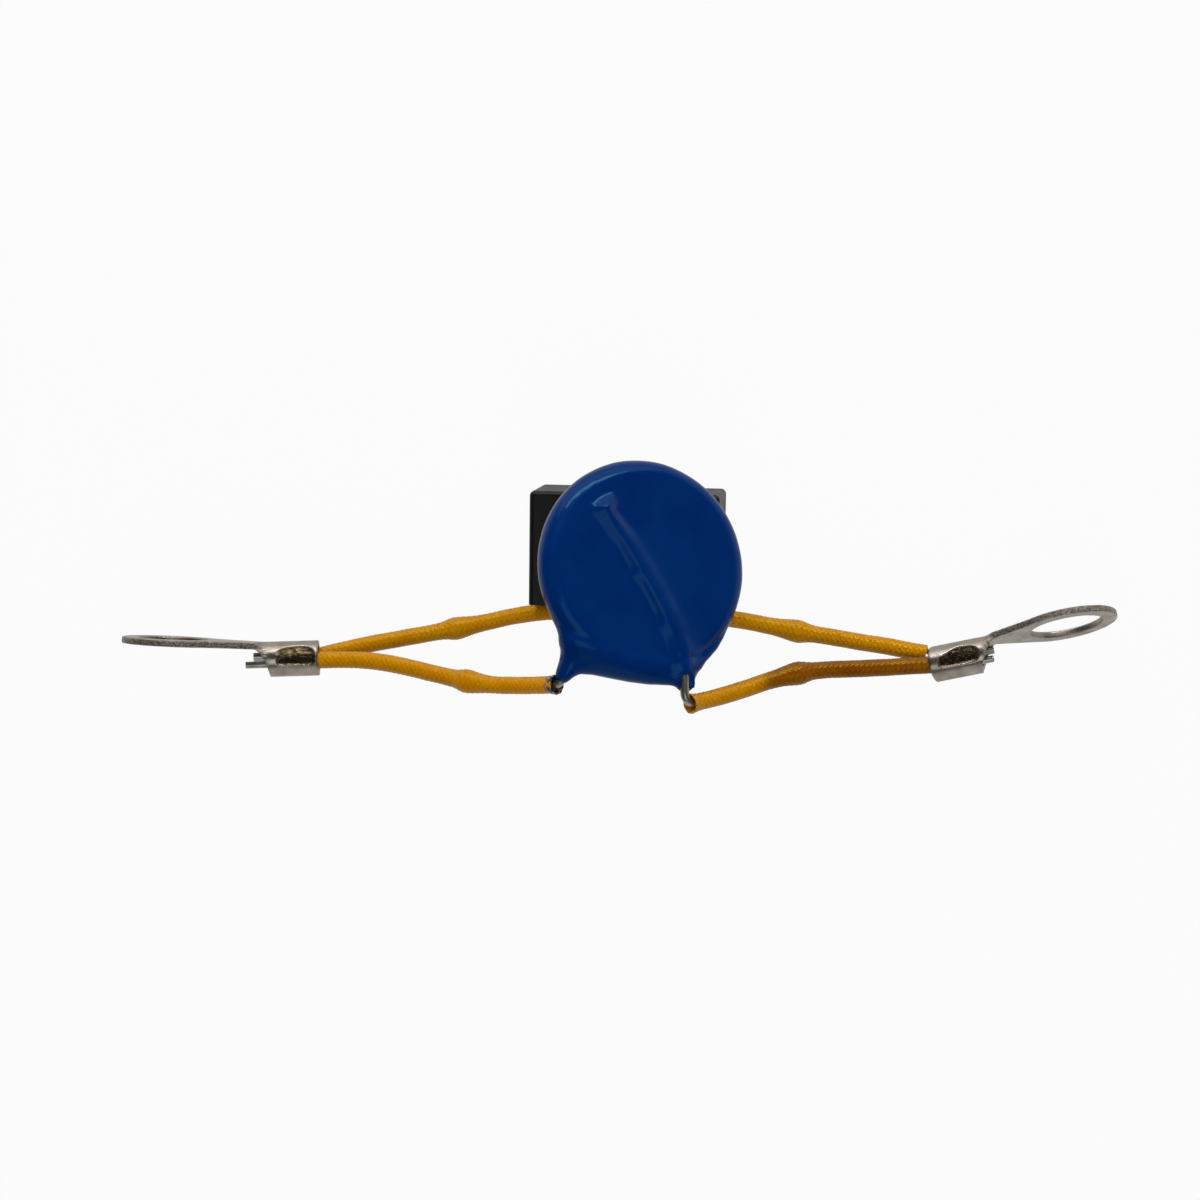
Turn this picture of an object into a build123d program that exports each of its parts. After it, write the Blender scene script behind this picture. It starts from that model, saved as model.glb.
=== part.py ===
"""Surge suppressor pigtail: a disc varistor wired across a boxed film capacitor.

The capacitor lies flat on its back, the varistor leans on it, and the four stiff
leads run in braided sleeves to two crimped ring terminals. Millimetres, +Z up.
The origin is the centre of the capacitor's back face, +X along the leads.
"""
from build123d import *
from math import radians, tan
import os

os.makedirs("parts", exist_ok=True)

# ---------------------------------------------------------------- driving sizes
# Varistor
DISC_RADIUS = 12.1              # coated disc
DISC_HALF_THICKNESS = 2.1       # coated disc, half of it
CERAMIC_RADIUS = 10.6
CERAMIC_THICKNESS = 2.4
CERAMIC_CHAMFER = 0.15
ELECTRODE_RADIUS = 9.4
ELECTRODE_THICKNESS = 0.05      # fired silver
SOLDER_THICKNESS = 0.5
SOLDER_WIDTH = 2.0
SOLDER_TAPER = 12.0             # degrees
SOLDER_SHARE = 0.78             # share of the inner lead's length under solder
WEB_TOP_HALF_THICKNESS = 1.95   # coating drawn out between the two legs
WEB_MIDDLE_HALF_THICKNESS = 1.45
WEB_HEM_HALF_THICKNESS = 0.95
WEB_ROUNDING = 0.95             # share of its half thickness
WEB_TWIST = 13.0                # its lower edge leans from the rear leg to the front leg
RIDGE_RADIUS = 1.05             # coating over a lead
CHIP_CENTRE = (6.5, -12.7, 3.3) # coating flaked off the front of the right leg
CHIP_RADIUS = 1.7
FRONT_RIDGE_END = (6.45, -13.0) # where the coating on each lead stops
REAR_RIDGE_END = (-6.66, -13.3)
VARISTOR_WIRE = 0.5             # radius of a tinned copper lead
LEAD_HEIGHT = 1.8               # lead axis above the disc's middle plane

# Capacitor
CASE_LENGTH = 21.9
CASE_HEIGHT = 13.2              # from the potted side to the closed side
CASE_THICKNESS = 9.5
CASE_WALL = 0.9
CASE_EDGE = 0.6
CAVITY_CORNER = 0.3
POTTING_RECESS = 0.3
LEAD_PITCH = 15.0
CAPACITOR_WIRE = 0.4
INNER_LEAD_Y = 3.6              # a lead's inner end, sunk in the sprayed zinc
CASE_TO_BEND = 1.15             # bare lead outside the case
BEND_HEIGHT = 4.65
WINDING_LENGTH = 13.2
WINDING_WIDTH = 9.4
WINDING_THICKNESS = 6.2
WINDING_DEPTH = 5.4             # its middle behind the potted side
CONTACT_THICKNESS = 0.7         # sprayed zinc on each end of the winding
CONTACT_INSET = 0.3

# Braided sleeves
SLEEVE_RADIUS = 1.0
SLEEVE_BORE = 0.66
OPEN_MOUTH_RADIUS = 1.15        # spread end that shows the bent lead
OPEN_MOUTH_BORE = 0.95
OPEN_MOUTH_LENGTH = 1.2
OPEN_MOUTH_START = 0.8          # past the corner of the lead's sharp bend
CLOSE_MOUTH_START = 1.3
BULGE_RADIUS = 1.32
BULGE_LENGTH = 5.2
BULGE_FOOT = 0.8                # share of the sleeve's radius where the bulge starts
BULGE_SLOPE = 0.15
BULGE_RUN = 2                   # the run of each sleeve's route that carries its bulge
PRESSED_LENGTH = 3.0            # flattened against the other sleeve before the barrel
PRESSED_GAP = 0.04              # between the two sleeves there
MOUTH_GAP = 0.15                # between a sleeve's end and the barrel

# Ring terminals for an M8 stud
SHEET = 0.8
BARREL_RADIUS = 2.05
BARREL_BORE = 1.25
BARREL_LENGTH = 5.7
MOUTH_LENGTH = 0.9
MOUTH_FLARE = 0.2
RING_RADIUS = 5.8
STUD_HOLE_RADIUS = 4.1
RIM_EDGE = 0.12
SHOULDER_BACK = 4.2             # where the tongue meets the ring, back from its centre
SHOULDER_HALF_WIDTH = 4.0
TONGUE_HALF_WIDTH = 1.5
TONGUE_HEIGHT = BARREL_RADIUS - SHEET
NECK_LENGTH = 1.9
TONGUE_BEND = 7.2               # barrel mouth to the line where the tongue bends
LEFT_RING_DISTANCE = 16.9       # barrel mouth to ring centre
RIGHT_RING_DISTANCE = 15.5
LEFT_TONGUE_LIFT = 4.5          # degrees
RIGHT_TONGUE_LIFT = 0.0
CRIMP_RADIUS = 0.95
CRIMP_DEPTH = 0.7
CRIMP_START = 1.6
CRIMP_LENGTH = 3.2
CRIMP_BEARING = 0.32            # how far the dented wall reaches into the bore
WALL_OVERLAP = 0.1
SLEEVE_SIDE = 0.87              # a sleeve's axis at the mouth, either side of the barrel's
SLEEVE_STAGGER = 0.2
WIRE_SIDE = 0.25                # a wire's axis in the barrel, either side of the barrel's
WIRE_STRAIGHT_START = 1.8
VARISTOR_WIRE_HEIGHT = 0.32
CAPACITOR_WIRE_HEIGHT = -0.62
LEFT_VARISTOR_WIRE_END = 7.5    # cut ends, from the barrel's mouth
LEFT_CAPACITOR_WIRE_END = 8.5
RIGHT_VARISTOR_WIRE_END = 7.0
RIGHT_CAPACITOR_WIRE_END = 6.8

# Bends
SHARP_TURN = 45.0               # degrees; a turn past this was made over pliers
PLIER_RADIUS = 1.1
HAND_RADIUS = 7.0

# ---------------------------------------------------------------- placed frames
# The disc leans back over the capacitor's right front edge, its left side raised.
disc = Plane(Location((2.97, -0.95, 17.0), (-17.3, 27.4, -5.3)))

# A terminal's frame: x from the barrel mouth to the ring, z from barrel to sheet.
left_terminal = Plane(
    origin=(-35.1, -13.2, 11.7), x_dir=(-0.9867, -0.0377, 0.1579), z_dir=(-0.0504, 0.9958, -0.0769)
)
right_terminal = Plane(
    origin=(35.6, -12.4, 7.0), x_dir=(0.9732, 0.2301, -0.0003), z_dir=(-0.2134, 0.9022, -0.3748)
)
LEFT_TOP = 1                    # side of the barrel, along its y, that faces up
RIGHT_TOP = -1


# ---------------------------------------------------------------- shared forms
def bend_radii(route):
    """One arc for each inner point, as wide as its runs allow, tight at a sharp turn."""
    points = [Vector(*point) for point in route]
    radii = []
    for before, corner, after in zip(points, points[1:], points[2:]):
        arriving = corner - before
        leaving = after - corner
        turn = arriving.get_angle(leaving)
        widest = 0.45 * min(arriving.length, leaving.length) / tan(radians(turn) / 2)
        radii.append(min(widest, PLIER_RADIUS if turn > SHARP_TURN else HAND_RADIUS))
    return radii


def along(start, end, distance):
    """The point at a distance from start towards end."""
    start = Vector(*start)
    return start + (Vector(*end) - start).normalized() * distance


def bent_wire(label, route, radius):
    """A stiff round wire along straight runs joined by tangent arcs."""
    with BuildPart() as wire:
        with BuildLine() as path:
            FilletPolyline(*route, radius=bend_radii(route))
        with BuildSketch(Plane(origin=path.line @ 0, z_dir=path.line % 0)):
            Circle(radius)
        sweep()
    wire.part.label = label
    return wire.part


def side_plane(origin, run):
    """A plane along a run, to draw a turned shape's half section on."""
    return Plane(origin=origin, x_dir=run, z_dir=run.cross(Vector(0, 0, 1)).normalized())


def turned_shape(plane, outline, mode=Mode.ADD):
    """The closed outline turned about the plane's x axis, in the part being built."""
    with BuildSketch(plane) as half_section:
        with BuildLine():
            Polyline(*outline, close=True)
        make_face()
    revolve(half_section.sketch, axis=Axis(plane.origin, plane.x_dir), mode=mode)


def braided_sleeve(label, route, neighbour, terminal, open_mouth):
    """A sleeve along a route, slack and swollen at one run, flattened at its end.

    Just before the barrel it is pressed against the neighbour, the other sleeve's
    route, and it is trimmed flush with the barrel's mouth. An open mouth is spread.
    """
    swell_start = Vector(*route[BULGE_RUN])
    swell_end = Vector(*route[BULGE_RUN + 1])
    middle = (swell_start + swell_end) / 2
    mouth = side_plane(route[0], (Vector(*route[1]) - Vector(*route[0])).normalized())
    foot = BULGE_FOOT * SLEEVE_RADIUS
    with BuildPart() as sleeve:
        with BuildLine() as path:
            FilletPolyline(*route, radius=bend_radii(route))
        with BuildSketch(Plane(origin=path.line @ 0, z_dir=path.line % 0)):
            Circle(SLEEVE_RADIUS)
        sweep()
        with BuildSketch(side_plane(middle, (swell_end - swell_start).normalized())):
            with BuildLine():
                Spline(
                    (-BULGE_LENGTH / 2, foot),
                    (0, BULGE_RADIUS),
                    (BULGE_LENGTH / 2, foot),
                    tangents=((1, BULGE_SLOPE), (1, -BULGE_SLOPE)),
                )
                Polyline(
                    (BULGE_LENGTH / 2, foot),
                    (BULGE_LENGTH / 2, 0),
                    (-BULGE_LENGTH / 2, 0),
                    (-BULGE_LENGTH / 2, foot),
                )
            make_face()
        revolve(axis=Axis(middle, swell_end - swell_start))
        if open_mouth:
            spread = (
                (0, 0), (0, OPEN_MOUTH_RADIUS), (OPEN_MOUTH_LENGTH, SLEEVE_RADIUS), (OPEN_MOUTH_LENGTH, 0)
            )
            turned_shape(mouth, spread)
        with BuildLine() as bore:
            FilletPolyline(*route, radius=bend_radii(route))
        with BuildSketch(Plane(origin=bore.line @ 0, z_dir=bore.line % 0)):
            Circle(SLEEVE_BORE)
        sweep(mode=Mode.SUBTRACT)
        if open_mouth:
            hollow = (
                (0, 0), (0, OPEN_MOUTH_BORE), (OPEN_MOUTH_LENGTH, SLEEVE_BORE), (OPEN_MOUTH_LENGTH, 0)
            )
            turned_shape(mouth, hollow, Mode.SUBTRACT)
        with BuildSketch(pressed_plane(route, neighbour)):
            Rectangle(2 * PRESSED_LENGTH, 4 * SLEEVE_RADIUS)
        extrude(amount=3 * SLEEVE_RADIUS, mode=Mode.SUBTRACT)
        barrel_mouth = terminal.origin - terminal.x_dir * MOUTH_GAP
        with BuildSketch(Plane(origin=barrel_mouth, z_dir=terminal.x_dir)):
            Rectangle(8 * SLEEVE_RADIUS, 8 * SLEEVE_RADIUS)
        extrude(amount=3 * SLEEVE_RADIUS, mode=Mode.SUBTRACT)
    sleeve.part.label = label
    return sleeve.part


def pressed_plane(route, neighbour):
    """The plane between the ends of two sleeves, facing the neighbour's side."""
    end, other_end = Vector(*route[-1]), Vector(*neighbour[-1])
    arriving = end - Vector(*route[-2])
    other_arriving = other_end - Vector(*neighbour[-2])
    run = (arriving.normalized() + other_arriving.normalized()).normalized()
    across = other_end - end
    across = (across - run * across.dot(run)).normalized()
    middle = (end + other_end) / 2 - across * PRESSED_GAP / 2
    return Plane(origin=middle, x_dir=run, z_dir=across)


def barrel_route(terminal, top, height_z, end):
    """A wire's points from the sleeve's end to its cut end past the barrel."""
    side_y = WIRE_SIDE * top
    mouth = (-MOUTH_GAP, SLEEVE_SIDE * top, -SLEEVE_STAGGER if height_z > 0 else SLEEVE_STAGGER)
    inside = (WIRE_STRAIGHT_START, side_y, height_z)
    tip = (end, side_y, height_z)
    return [tuple(terminal.from_local_coords(point)) for point in (mouth, inside, tip)]


def bent_tongue(terminal, lift):
    """The terminal's frame past its bend, on the sheet's barrel side."""
    bend_line = terminal.from_local_coords((TONGUE_BEND, 0, TONGUE_HEIGHT))
    turned = Plane(terminal.location * Rotation(0, -lift, 0))
    return Plane(origin=bend_line, x_dir=turned.x_dir, z_dir=turned.z_dir)


def ring_terminal(label, terminal, top, ring_distance, lift):
    """Sheet rolled into a barrel, its tongue widening to a ring; a dent crimps it."""
    side_view = Plane(origin=terminal.origin, x_dir=terminal.x_dir, z_dir=terminal.y_dir * -1)
    end_view = Plane(origin=terminal.origin, x_dir=terminal.y_dir, z_dir=terminal.x_dir)
    ring_frame = bent_tongue(terminal, lift)
    below = -BARREL_RADIUS - SHEET
    ring_x = ring_distance - TONGUE_BEND
    shoulder_x = ring_x - SHOULDER_BACK
    crimp_y = (BARREL_RADIUS - CRIMP_DEPTH + CRIMP_RADIUS) * top
    crimp_middle = terminal.from_local_coords((CRIMP_START + CRIMP_LENGTH / 2, crimp_y, 0))
    with BuildPart() as terminal_part:
        # barrel wall with its bell mouth
        barrel_section = (
            (0, BARREL_BORE + MOUTH_FLARE),
            (MOUTH_LENGTH, BARREL_BORE),
            (TONGUE_BEND, BARREL_BORE),
            (TONGUE_BEND, BARREL_RADIUS),
            (MOUTH_LENGTH, BARREL_RADIUS),
            (0, BARREL_RADIUS + MOUTH_FLARE),
        )
        turned_shape(terminal, barrel_section)
        # the sheared edge that climbs from the barrel's underside to the tongue
        with BuildSketch(side_view):
            with BuildLine():
                shear = Spline(
                    (BARREL_LENGTH, below),
                    (BARREL_LENGTH + 0.2, -0.6),
                    (BARREL_LENGTH + 0.8, 0.6),
                    (TONGUE_BEND, TONGUE_HEIGHT),
                )
                Polyline(
                    shear @ 1,
                    (TONGUE_BEND + SHEET, TONGUE_HEIGHT),
                    (TONGUE_BEND + SHEET, below),
                    shear @ 0,
                )
            make_face()
        extrude(amount=-below, both=True, mode=Mode.SUBTRACT)
        # flat neck of the tongue up to its bend
        with BuildSketch(terminal.offset(TONGUE_HEIGHT)):
            with Locations((TONGUE_BEND - NECK_LENGTH / 2, 0)):
                Rectangle(NECK_LENGTH, 2 * TONGUE_HALF_WIDTH)
        extrude(amount=SHEET)
        # tongue and ring past the bend
        with BuildSketch(ring_frame):
            with BuildLine():
                Polyline(
                    (0, TONGUE_HALF_WIDTH),
                    (shoulder_x, SHOULDER_HALF_WIDTH),
                    (ring_x, 0),
                    (shoulder_x, -SHOULDER_HALF_WIDTH),
                    (0, -TONGUE_HALF_WIDTH),
                    close=True,
                )
            make_face()
            with Locations((ring_x, 0)):
                Circle(RING_RADIUS)
                Circle(STUD_HOLE_RADIUS, mode=Mode.SUBTRACT)
        extrude(amount=SHEET)
        ring_rims = terminal_part.edges().filter_by(GeomType.CIRCLE).filter_by(
            lambda edge: edge.radius in (RING_RADIUS, STUD_HOLE_RADIUS)
        )
        fillet(ring_rims, RIM_EDGE)
        if lift:
            # the wedge that the bend opens on its outer side
            outer_face = Vector(*terminal.from_local_coords((TONGUE_BEND, 0, BARREL_RADIUS)))
            lifted_face = ring_frame.origin + ring_frame.z_dir * SHEET
            with BuildSketch(side_view):
                with BuildLine():
                    Polyline(
                        (TONGUE_BEND, TONGUE_HEIGHT),
                        side_view.to_local_coords(outer_face),
                        side_view.to_local_coords(lifted_face),
                        close=True,
                    )
                make_face()
            extrude(amount=TONGUE_HALF_WIDTH, both=True)
        # inside the bore the dented wall bears on the wires
        with BuildSketch(end_view.offset(CRIMP_START)):
            Circle(BARREL_BORE + WALL_OVERLAP)
            with Locations((-CRIMP_BEARING * top, 0)):
                Rectangle(2 * (BARREL_BORE + WALL_OVERLAP), 2 * BARREL_RADIUS, mode=Mode.SUBTRACT)
        extrude(amount=CRIMP_LENGTH)
        # the dent itself, a groove with round ends
        with BuildSketch(Plane(origin=crimp_middle, x_dir=terminal.x_dir, z_dir=terminal.z_dir)):
            SlotOverall(CRIMP_LENGTH + CRIMP_RADIUS, 2 * CRIMP_RADIUS)
            with Locations((0, -CRIMP_RADIUS)):
                Rectangle(CRIMP_LENGTH + 2 * CRIMP_RADIUS, 2 * CRIMP_RADIUS, mode=Mode.SUBTRACT)
        revolve(axis=Axis(crimp_middle, terminal.x_dir), mode=Mode.SUBTRACT)
    terminal_part.part.label = label
    return terminal_part.part


# ---------------------------------------------------------------- the four leads
# Each lead: inside its component, then free, then in a barrel.
FRONT_LEAD = [(-5.9, 5.2, LEAD_HEIGHT), (-0.7, -0.6, LEAD_HEIGHT), (4.9, -7.7, LEAD_HEIGHT)]
FRONT_LEAD += [(6.1, -11.0, LEAD_HEIGHT), (6.65, -14.6, LEAD_HEIGHT)]
REAR_LEAD = [(5.6, 5.0, -LEAD_HEIGHT), (1.6, -0.4, -LEAD_HEIGHT), (-5.2, -8.9, -LEAD_HEIGHT)]
REAR_LEAD += [(-6.5, -11.8, -LEAD_HEIGHT), (-6.7, -14.4, -LEAD_HEIGHT)]

FREE_VARISTOR_LEFT = [(-9.2, -14.2, 20.4), (-14.5, -14.6, 18.2), (-18.7, -14.2, 16.6)]
FREE_VARISTOR_LEFT += [(-25.6, -13.2, 14.2), (-30.7, -13.0, 12.9)]
FREE_VARISTOR_RIGHT = [(12.3, -15.3, 16.8), (18.5, -13.4, 13.0), (22.5, -12.8, 11.2)]
FREE_VARISTOR_RIGHT += [(26.3, -12.8, 9.7), (30.6, -12.7, 8.3)]
FREE_CAPACITOR_LEFT = [(-11.8, -8.2, 4.5), (-18.1, -9.7, 5.8), (-21.9, -10.4, 6.9)]
FREE_CAPACITOR_LEFT += [(-27.7, -11.4, 9.0), (-31.2, -12.0, 10.5)]
FREE_CAPACITOR_RIGHT = [(12.6, -8.2, 4.4), (17.9, -9.1, 4.5), (21.8, -9.7, 4.7)]
FREE_CAPACITOR_RIGHT += [(26.5, -10.2, 5.2), (31.1, -11.1, 6.0)]


def disc_points(points):
    """Points given in the disc's frame, in the model's."""
    return [tuple(disc.from_local_coords(point)) for point in points]


def capacitor_points(side):
    """The stretch of a capacitor lead from the winding's end to its bend outside."""
    x = side * LEAD_PITCH / 2
    bend_y = -CASE_HEIGHT / 2 - CASE_TO_BEND
    return [(x, INNER_LEAD_Y, CASE_THICKNESS / 2), (x, bend_y, BEND_HEIGHT)]


left_varistor_barrel = barrel_route(
    left_terminal, LEFT_TOP, VARISTOR_WIRE_HEIGHT, LEFT_VARISTOR_WIRE_END
)
left_capacitor_barrel = barrel_route(
    left_terminal, -LEFT_TOP, CAPACITOR_WIRE_HEIGHT, LEFT_CAPACITOR_WIRE_END
)
right_varistor_barrel = barrel_route(
    right_terminal, RIGHT_TOP, VARISTOR_WIRE_HEIGHT, RIGHT_VARISTOR_WIRE_END
)
right_capacitor_barrel = barrel_route(
    right_terminal, -RIGHT_TOP, CAPACITOR_WIRE_HEIGHT, RIGHT_CAPACITOR_WIRE_END
)

varistor_lead_left = bent_wire(
    "varistor_lead_left",
    disc_points(REAR_LEAD) + FREE_VARISTOR_LEFT + left_varistor_barrel,
    VARISTOR_WIRE,
)
varistor_lead_right = bent_wire(
    "varistor_lead_right",
    disc_points(FRONT_LEAD) + FREE_VARISTOR_RIGHT + right_varistor_barrel,
    VARISTOR_WIRE,
)
capacitor_lead_left = bent_wire(
    "capacitor_lead_left",
    capacitor_points(-1) + FREE_CAPACITOR_LEFT + left_capacitor_barrel,
    CAPACITOR_WIRE,
)
capacitor_lead_right = bent_wire(
    "capacitor_lead_right",
    capacitor_points(1) + FREE_CAPACITOR_RIGHT + right_capacitor_barrel,
    CAPACITOR_WIRE,
)


# ---------------------------------------------------------------- sleeves
def sleeve_route(corner, free, barrel, bare):
    """From just past the lead's sharp bend to the barrel's mouth."""
    start = tuple(along(corner, free[0], bare))
    return [start] + free + [barrel[0]]


varistor_left_route = sleeve_route(
    disc_points(REAR_LEAD)[-1], FREE_VARISTOR_LEFT, left_varistor_barrel, OPEN_MOUTH_START
)
varistor_right_route = sleeve_route(
    disc_points(FRONT_LEAD)[-1], FREE_VARISTOR_RIGHT, right_varistor_barrel, OPEN_MOUTH_START
)
capacitor_left_route = sleeve_route(
    capacitor_points(-1)[-1], FREE_CAPACITOR_LEFT, left_capacitor_barrel, CLOSE_MOUTH_START
)
capacitor_right_route = sleeve_route(
    capacitor_points(1)[-1], FREE_CAPACITOR_RIGHT, right_capacitor_barrel, CLOSE_MOUTH_START
)
sleeve_varistor_left = braided_sleeve(
    "sleeve_varistor_left", varistor_left_route, capacitor_left_route, left_terminal, True
)
sleeve_varistor_right = braided_sleeve(
    "sleeve_varistor_right", varistor_right_route, capacitor_right_route, right_terminal, True
)
sleeve_capacitor_left = braided_sleeve(
    "sleeve_capacitor_left", capacitor_left_route, varistor_left_route, left_terminal, False
)
sleeve_capacitor_right = braided_sleeve(
    "sleeve_capacitor_right", capacitor_right_route, varistor_right_route, right_terminal, False
)

# ---------------------------------------------------------------- ring terminals
ring_terminal_left = ring_terminal(
    "ring_terminal_left", left_terminal, LEFT_TOP, LEFT_RING_DISTANCE, LEFT_TONGUE_LIFT
)
ring_terminal_right = ring_terminal(
    "ring_terminal_right", right_terminal, RIGHT_TOP, RIGHT_RING_DISTANCE, RIGHT_TONGUE_LIFT
)

# ---------------------------------------------------------------- varistor
with BuildPart() as ceramic_disc:
    with BuildSketch(disc.offset(-CERAMIC_THICKNESS / 2)):
        Circle(CERAMIC_RADIUS)
    extrude(amount=CERAMIC_THICKNESS)
    chamfer(ceramic_disc.edges().filter_by(GeomType.CIRCLE), CERAMIC_CHAMFER)
ceramic_disc.part.label = "ceramic_disc"


def electrode(label, side):
    """A fired silver layer on one face of the ceramic."""
    with BuildPart() as layer:
        with BuildSketch(disc.offset(side * CERAMIC_THICKNESS / 2)):
            Circle(ELECTRODE_RADIUS)
        extrude(amount=side * ELECTRODE_THICKNESS)
    layer.part.label = label
    return layer.part


def solder_seam(label, lead_points, lead, side):
    """Solder along the stretch of lead that lies on an electrode."""
    start = Vector(*lead_points[0])
    finish = Vector(*lead_points[2])
    middle = (start + finish) / 2
    run = finish - start
    slope = run.get_signed_angle(Vector(1, 0, 0), Vector(0, 0, -1))
    base = side * (CERAMIC_THICKNESS / 2 + ELECTRODE_THICKNESS)
    with BuildPart() as seam:
        with BuildSketch(disc.offset(base)):
            with Locations((middle.X, middle.Y)):
                SlotCenterToCenter(SOLDER_SHARE * run.length, SOLDER_WIDTH, rotation=slope)
        extrude(amount=side * SOLDER_THICKNESS, taper=SOLDER_TAPER)
        add(lead, mode=Mode.SUBTRACT)
    seam.part.label = label
    return seam.part


front_electrode = electrode("front_electrode", 1)
rear_electrode = electrode("rear_electrode", -1)
front_solder = solder_seam("front_solder", FRONT_LEAD, varistor_lead_right, 1)
rear_solder = solder_seam("rear_solder", REAR_LEAD, varistor_lead_left, -1)


def web_section(y, left, right, half_thickness, twist):
    """A cross-section of the web between the legs, with round edges."""
    middle = Vector(*disc.from_local_coords(((left + right) / 2, y, 0)))
    level = Plane(disc.location * Rotation(0, -twist, 0))
    with BuildSketch(Plane(origin=middle, x_dir=level.x_dir, z_dir=disc.y_dir)) as section:
        RectangleRounded(right - left, 2 * half_thickness, WEB_ROUNDING * half_thickness)
    return section.sketch


hem = Plane(origin=disc.origin, x_dir=disc.x_dir, z_dir=disc.z_dir)
with BuildPart() as web:
    loft((
        web_section(-6.0, -10.2, 10.4, WEB_TOP_HALF_THICKNESS, 0),
        web_section(-9.8, -8.0, 8.5, WEB_MIDDLE_HALF_THICKNESS, WEB_TWIST / 2),
        web_section(-14.2, -7.4, 7.6, WEB_HEM_HALF_THICKNESS, WEB_TWIST),
    ))
    with BuildSketch(hem):
        with BuildLine():
            left_toe = ThreePointArc((-7.5, -13.2), (-6.8, -14.0), (-5.9, -13.5))
            arch = ThreePointArc(left_toe @ 1, (-3.6, -12.75), (-0.6, -12.6))
            edge = Line(arch @ 1, (5.2, -12.7))
            right_toe = ThreePointArc(edge @ 1, (6.6, -13.25), (7.8, -12.2))
            Polyline(right_toe @ 1, (9.0, -16.0), (-9.0, -16.0), left_toe @ 0)
        make_face()
    extrude(amount=3 * WEB_TOP_HALF_THICKNESS, both=True, mode=Mode.SUBTRACT)

with BuildPart() as varistor_coating:
    # the dipped disc with its full round rim
    with BuildSketch(Plane(origin=disc.origin, x_dir=disc.x_dir, z_dir=disc.y_dir * -1)):
        flat = DISC_RADIUS - DISC_HALF_THICKNESS
        with BuildLine():
            Line((0, DISC_HALF_THICKNESS), (0, -DISC_HALF_THICKNESS))
            Line((0, -DISC_HALF_THICKNESS), (flat, -DISC_HALF_THICKNESS))
            ThreePointArc((flat, -DISC_HALF_THICKNESS), (DISC_RADIUS, 0), (flat, DISC_HALF_THICKNESS))
            Line((flat, DISC_HALF_THICKNESS), (0, DISC_HALF_THICKNESS))
        make_face()
    revolve(axis=Axis(disc.origin, disc.z_dir))
    add(web.part)
    # coating over the leads, which stands proud of both faces
    for lead_points, end in ((FRONT_LEAD, FRONT_RIDGE_END), (REAR_LEAD, REAR_RIDGE_END)):
        ridge_route = disc_points(lead_points[:-1] + [(*end, lead_points[0][2])])
        with BuildLine() as ridge:
            FilletPolyline(*ridge_route, radius=bend_radii(ridge_route))
        with BuildSketch(Plane(origin=ridge.line @ 0, z_dir=ridge.line % 0)):
            Circle(RIDGE_RADIUS)
        sweep()
        with Locations(ridge_route[0]):
            Sphere(RIDGE_RADIUS)
    # the coating has flaked off the front of the right leg
    with Locations(disc_points([CHIP_CENTRE])[0]):
        Sphere(CHIP_RADIUS, mode=Mode.SUBTRACT)
    # what it encloses
    for inner in (ceramic_disc.part, front_electrode, rear_electrode, front_solder, rear_solder):
        add(inner, mode=Mode.SUBTRACT)
    for inner in (varistor_lead_left, varistor_lead_right):
        add(inner, mode=Mode.SUBTRACT)
varistor_coating.part.label = "varistor_coating"

# ---------------------------------------------------------------- capacitor
case_floor = Plane(origin=(0, -CASE_HEIGHT / 2, CASE_THICKNESS / 2), x_dir=(1, 0, 0), z_dir=(0, 1, 0))
cavity_depth = CASE_HEIGHT - CASE_WALL
cavity_length = CASE_LENGTH - 2 * CASE_WALL
cavity_thickness = CASE_THICKNESS - 2 * CASE_WALL

with BuildPart() as capacitor_case:
    with BuildSketch(case_floor):
        Rectangle(CASE_LENGTH, CASE_THICKNESS)
    extrude(amount=CASE_HEIGHT)
    open_rim = capacitor_case.edges().group_by(Axis.Y)[0]
    fillet(capacitor_case.edges() - open_rim, CASE_EDGE)
    with BuildSketch(case_floor):
        RectangleRounded(cavity_length, cavity_thickness, CAVITY_CORNER)
    extrude(amount=cavity_depth, mode=Mode.SUBTRACT)
capacitor_case.part.label = "capacitor_case"

winding_y = WINDING_DEPTH - CASE_HEIGHT / 2
winding_start = (-WINDING_LENGTH / 2, winding_y, CASE_THICKNESS / 2)
with BuildPart() as capacitor_winding:
    with BuildSketch(Plane(origin=winding_start, x_dir=(0, 1, 0), z_dir=(1, 0, 0))):
        SlotOverall(WINDING_WIDTH, WINDING_THICKNESS)
    extrude(amount=WINDING_LENGTH)
capacitor_winding.part.label = "capacitor_winding"


def end_contact(label, side, lead):
    """Sprayed zinc on one end of the winding, with the lead sunk into it."""
    start = (side * WINDING_LENGTH / 2, winding_y, CASE_THICKNESS / 2)
    with BuildPart() as contact:
        with BuildSketch(Plane(origin=start, x_dir=(0, 1, 0), z_dir=(side, 0, 0))):
            SlotOverall(WINDING_WIDTH - CONTACT_INSET, WINDING_THICKNESS - CONTACT_INSET)
        extrude(amount=CONTACT_THICKNESS)
        add(lead, mode=Mode.SUBTRACT)
    contact.part.label = label
    return contact.part


end_contact_left = end_contact("capacitor_contact_left", -1, capacitor_lead_left)
end_contact_right = end_contact("capacitor_contact_right", 1, capacitor_lead_right)

with BuildPart() as capacitor_potting:
    with BuildSketch(case_floor.offset(POTTING_RECESS)):
        RectangleRounded(cavity_length, cavity_thickness, CAVITY_CORNER)
    extrude(amount=cavity_depth - POTTING_RECESS)
    for inner in (capacitor_winding.part, end_contact_left, end_contact_right):
        add(inner, mode=Mode.SUBTRACT)
    for inner in (capacitor_lead_left, capacitor_lead_right):
        add(inner, mode=Mode.SUBTRACT)
capacitor_potting.part.label = "capacitor_potting"

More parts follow.
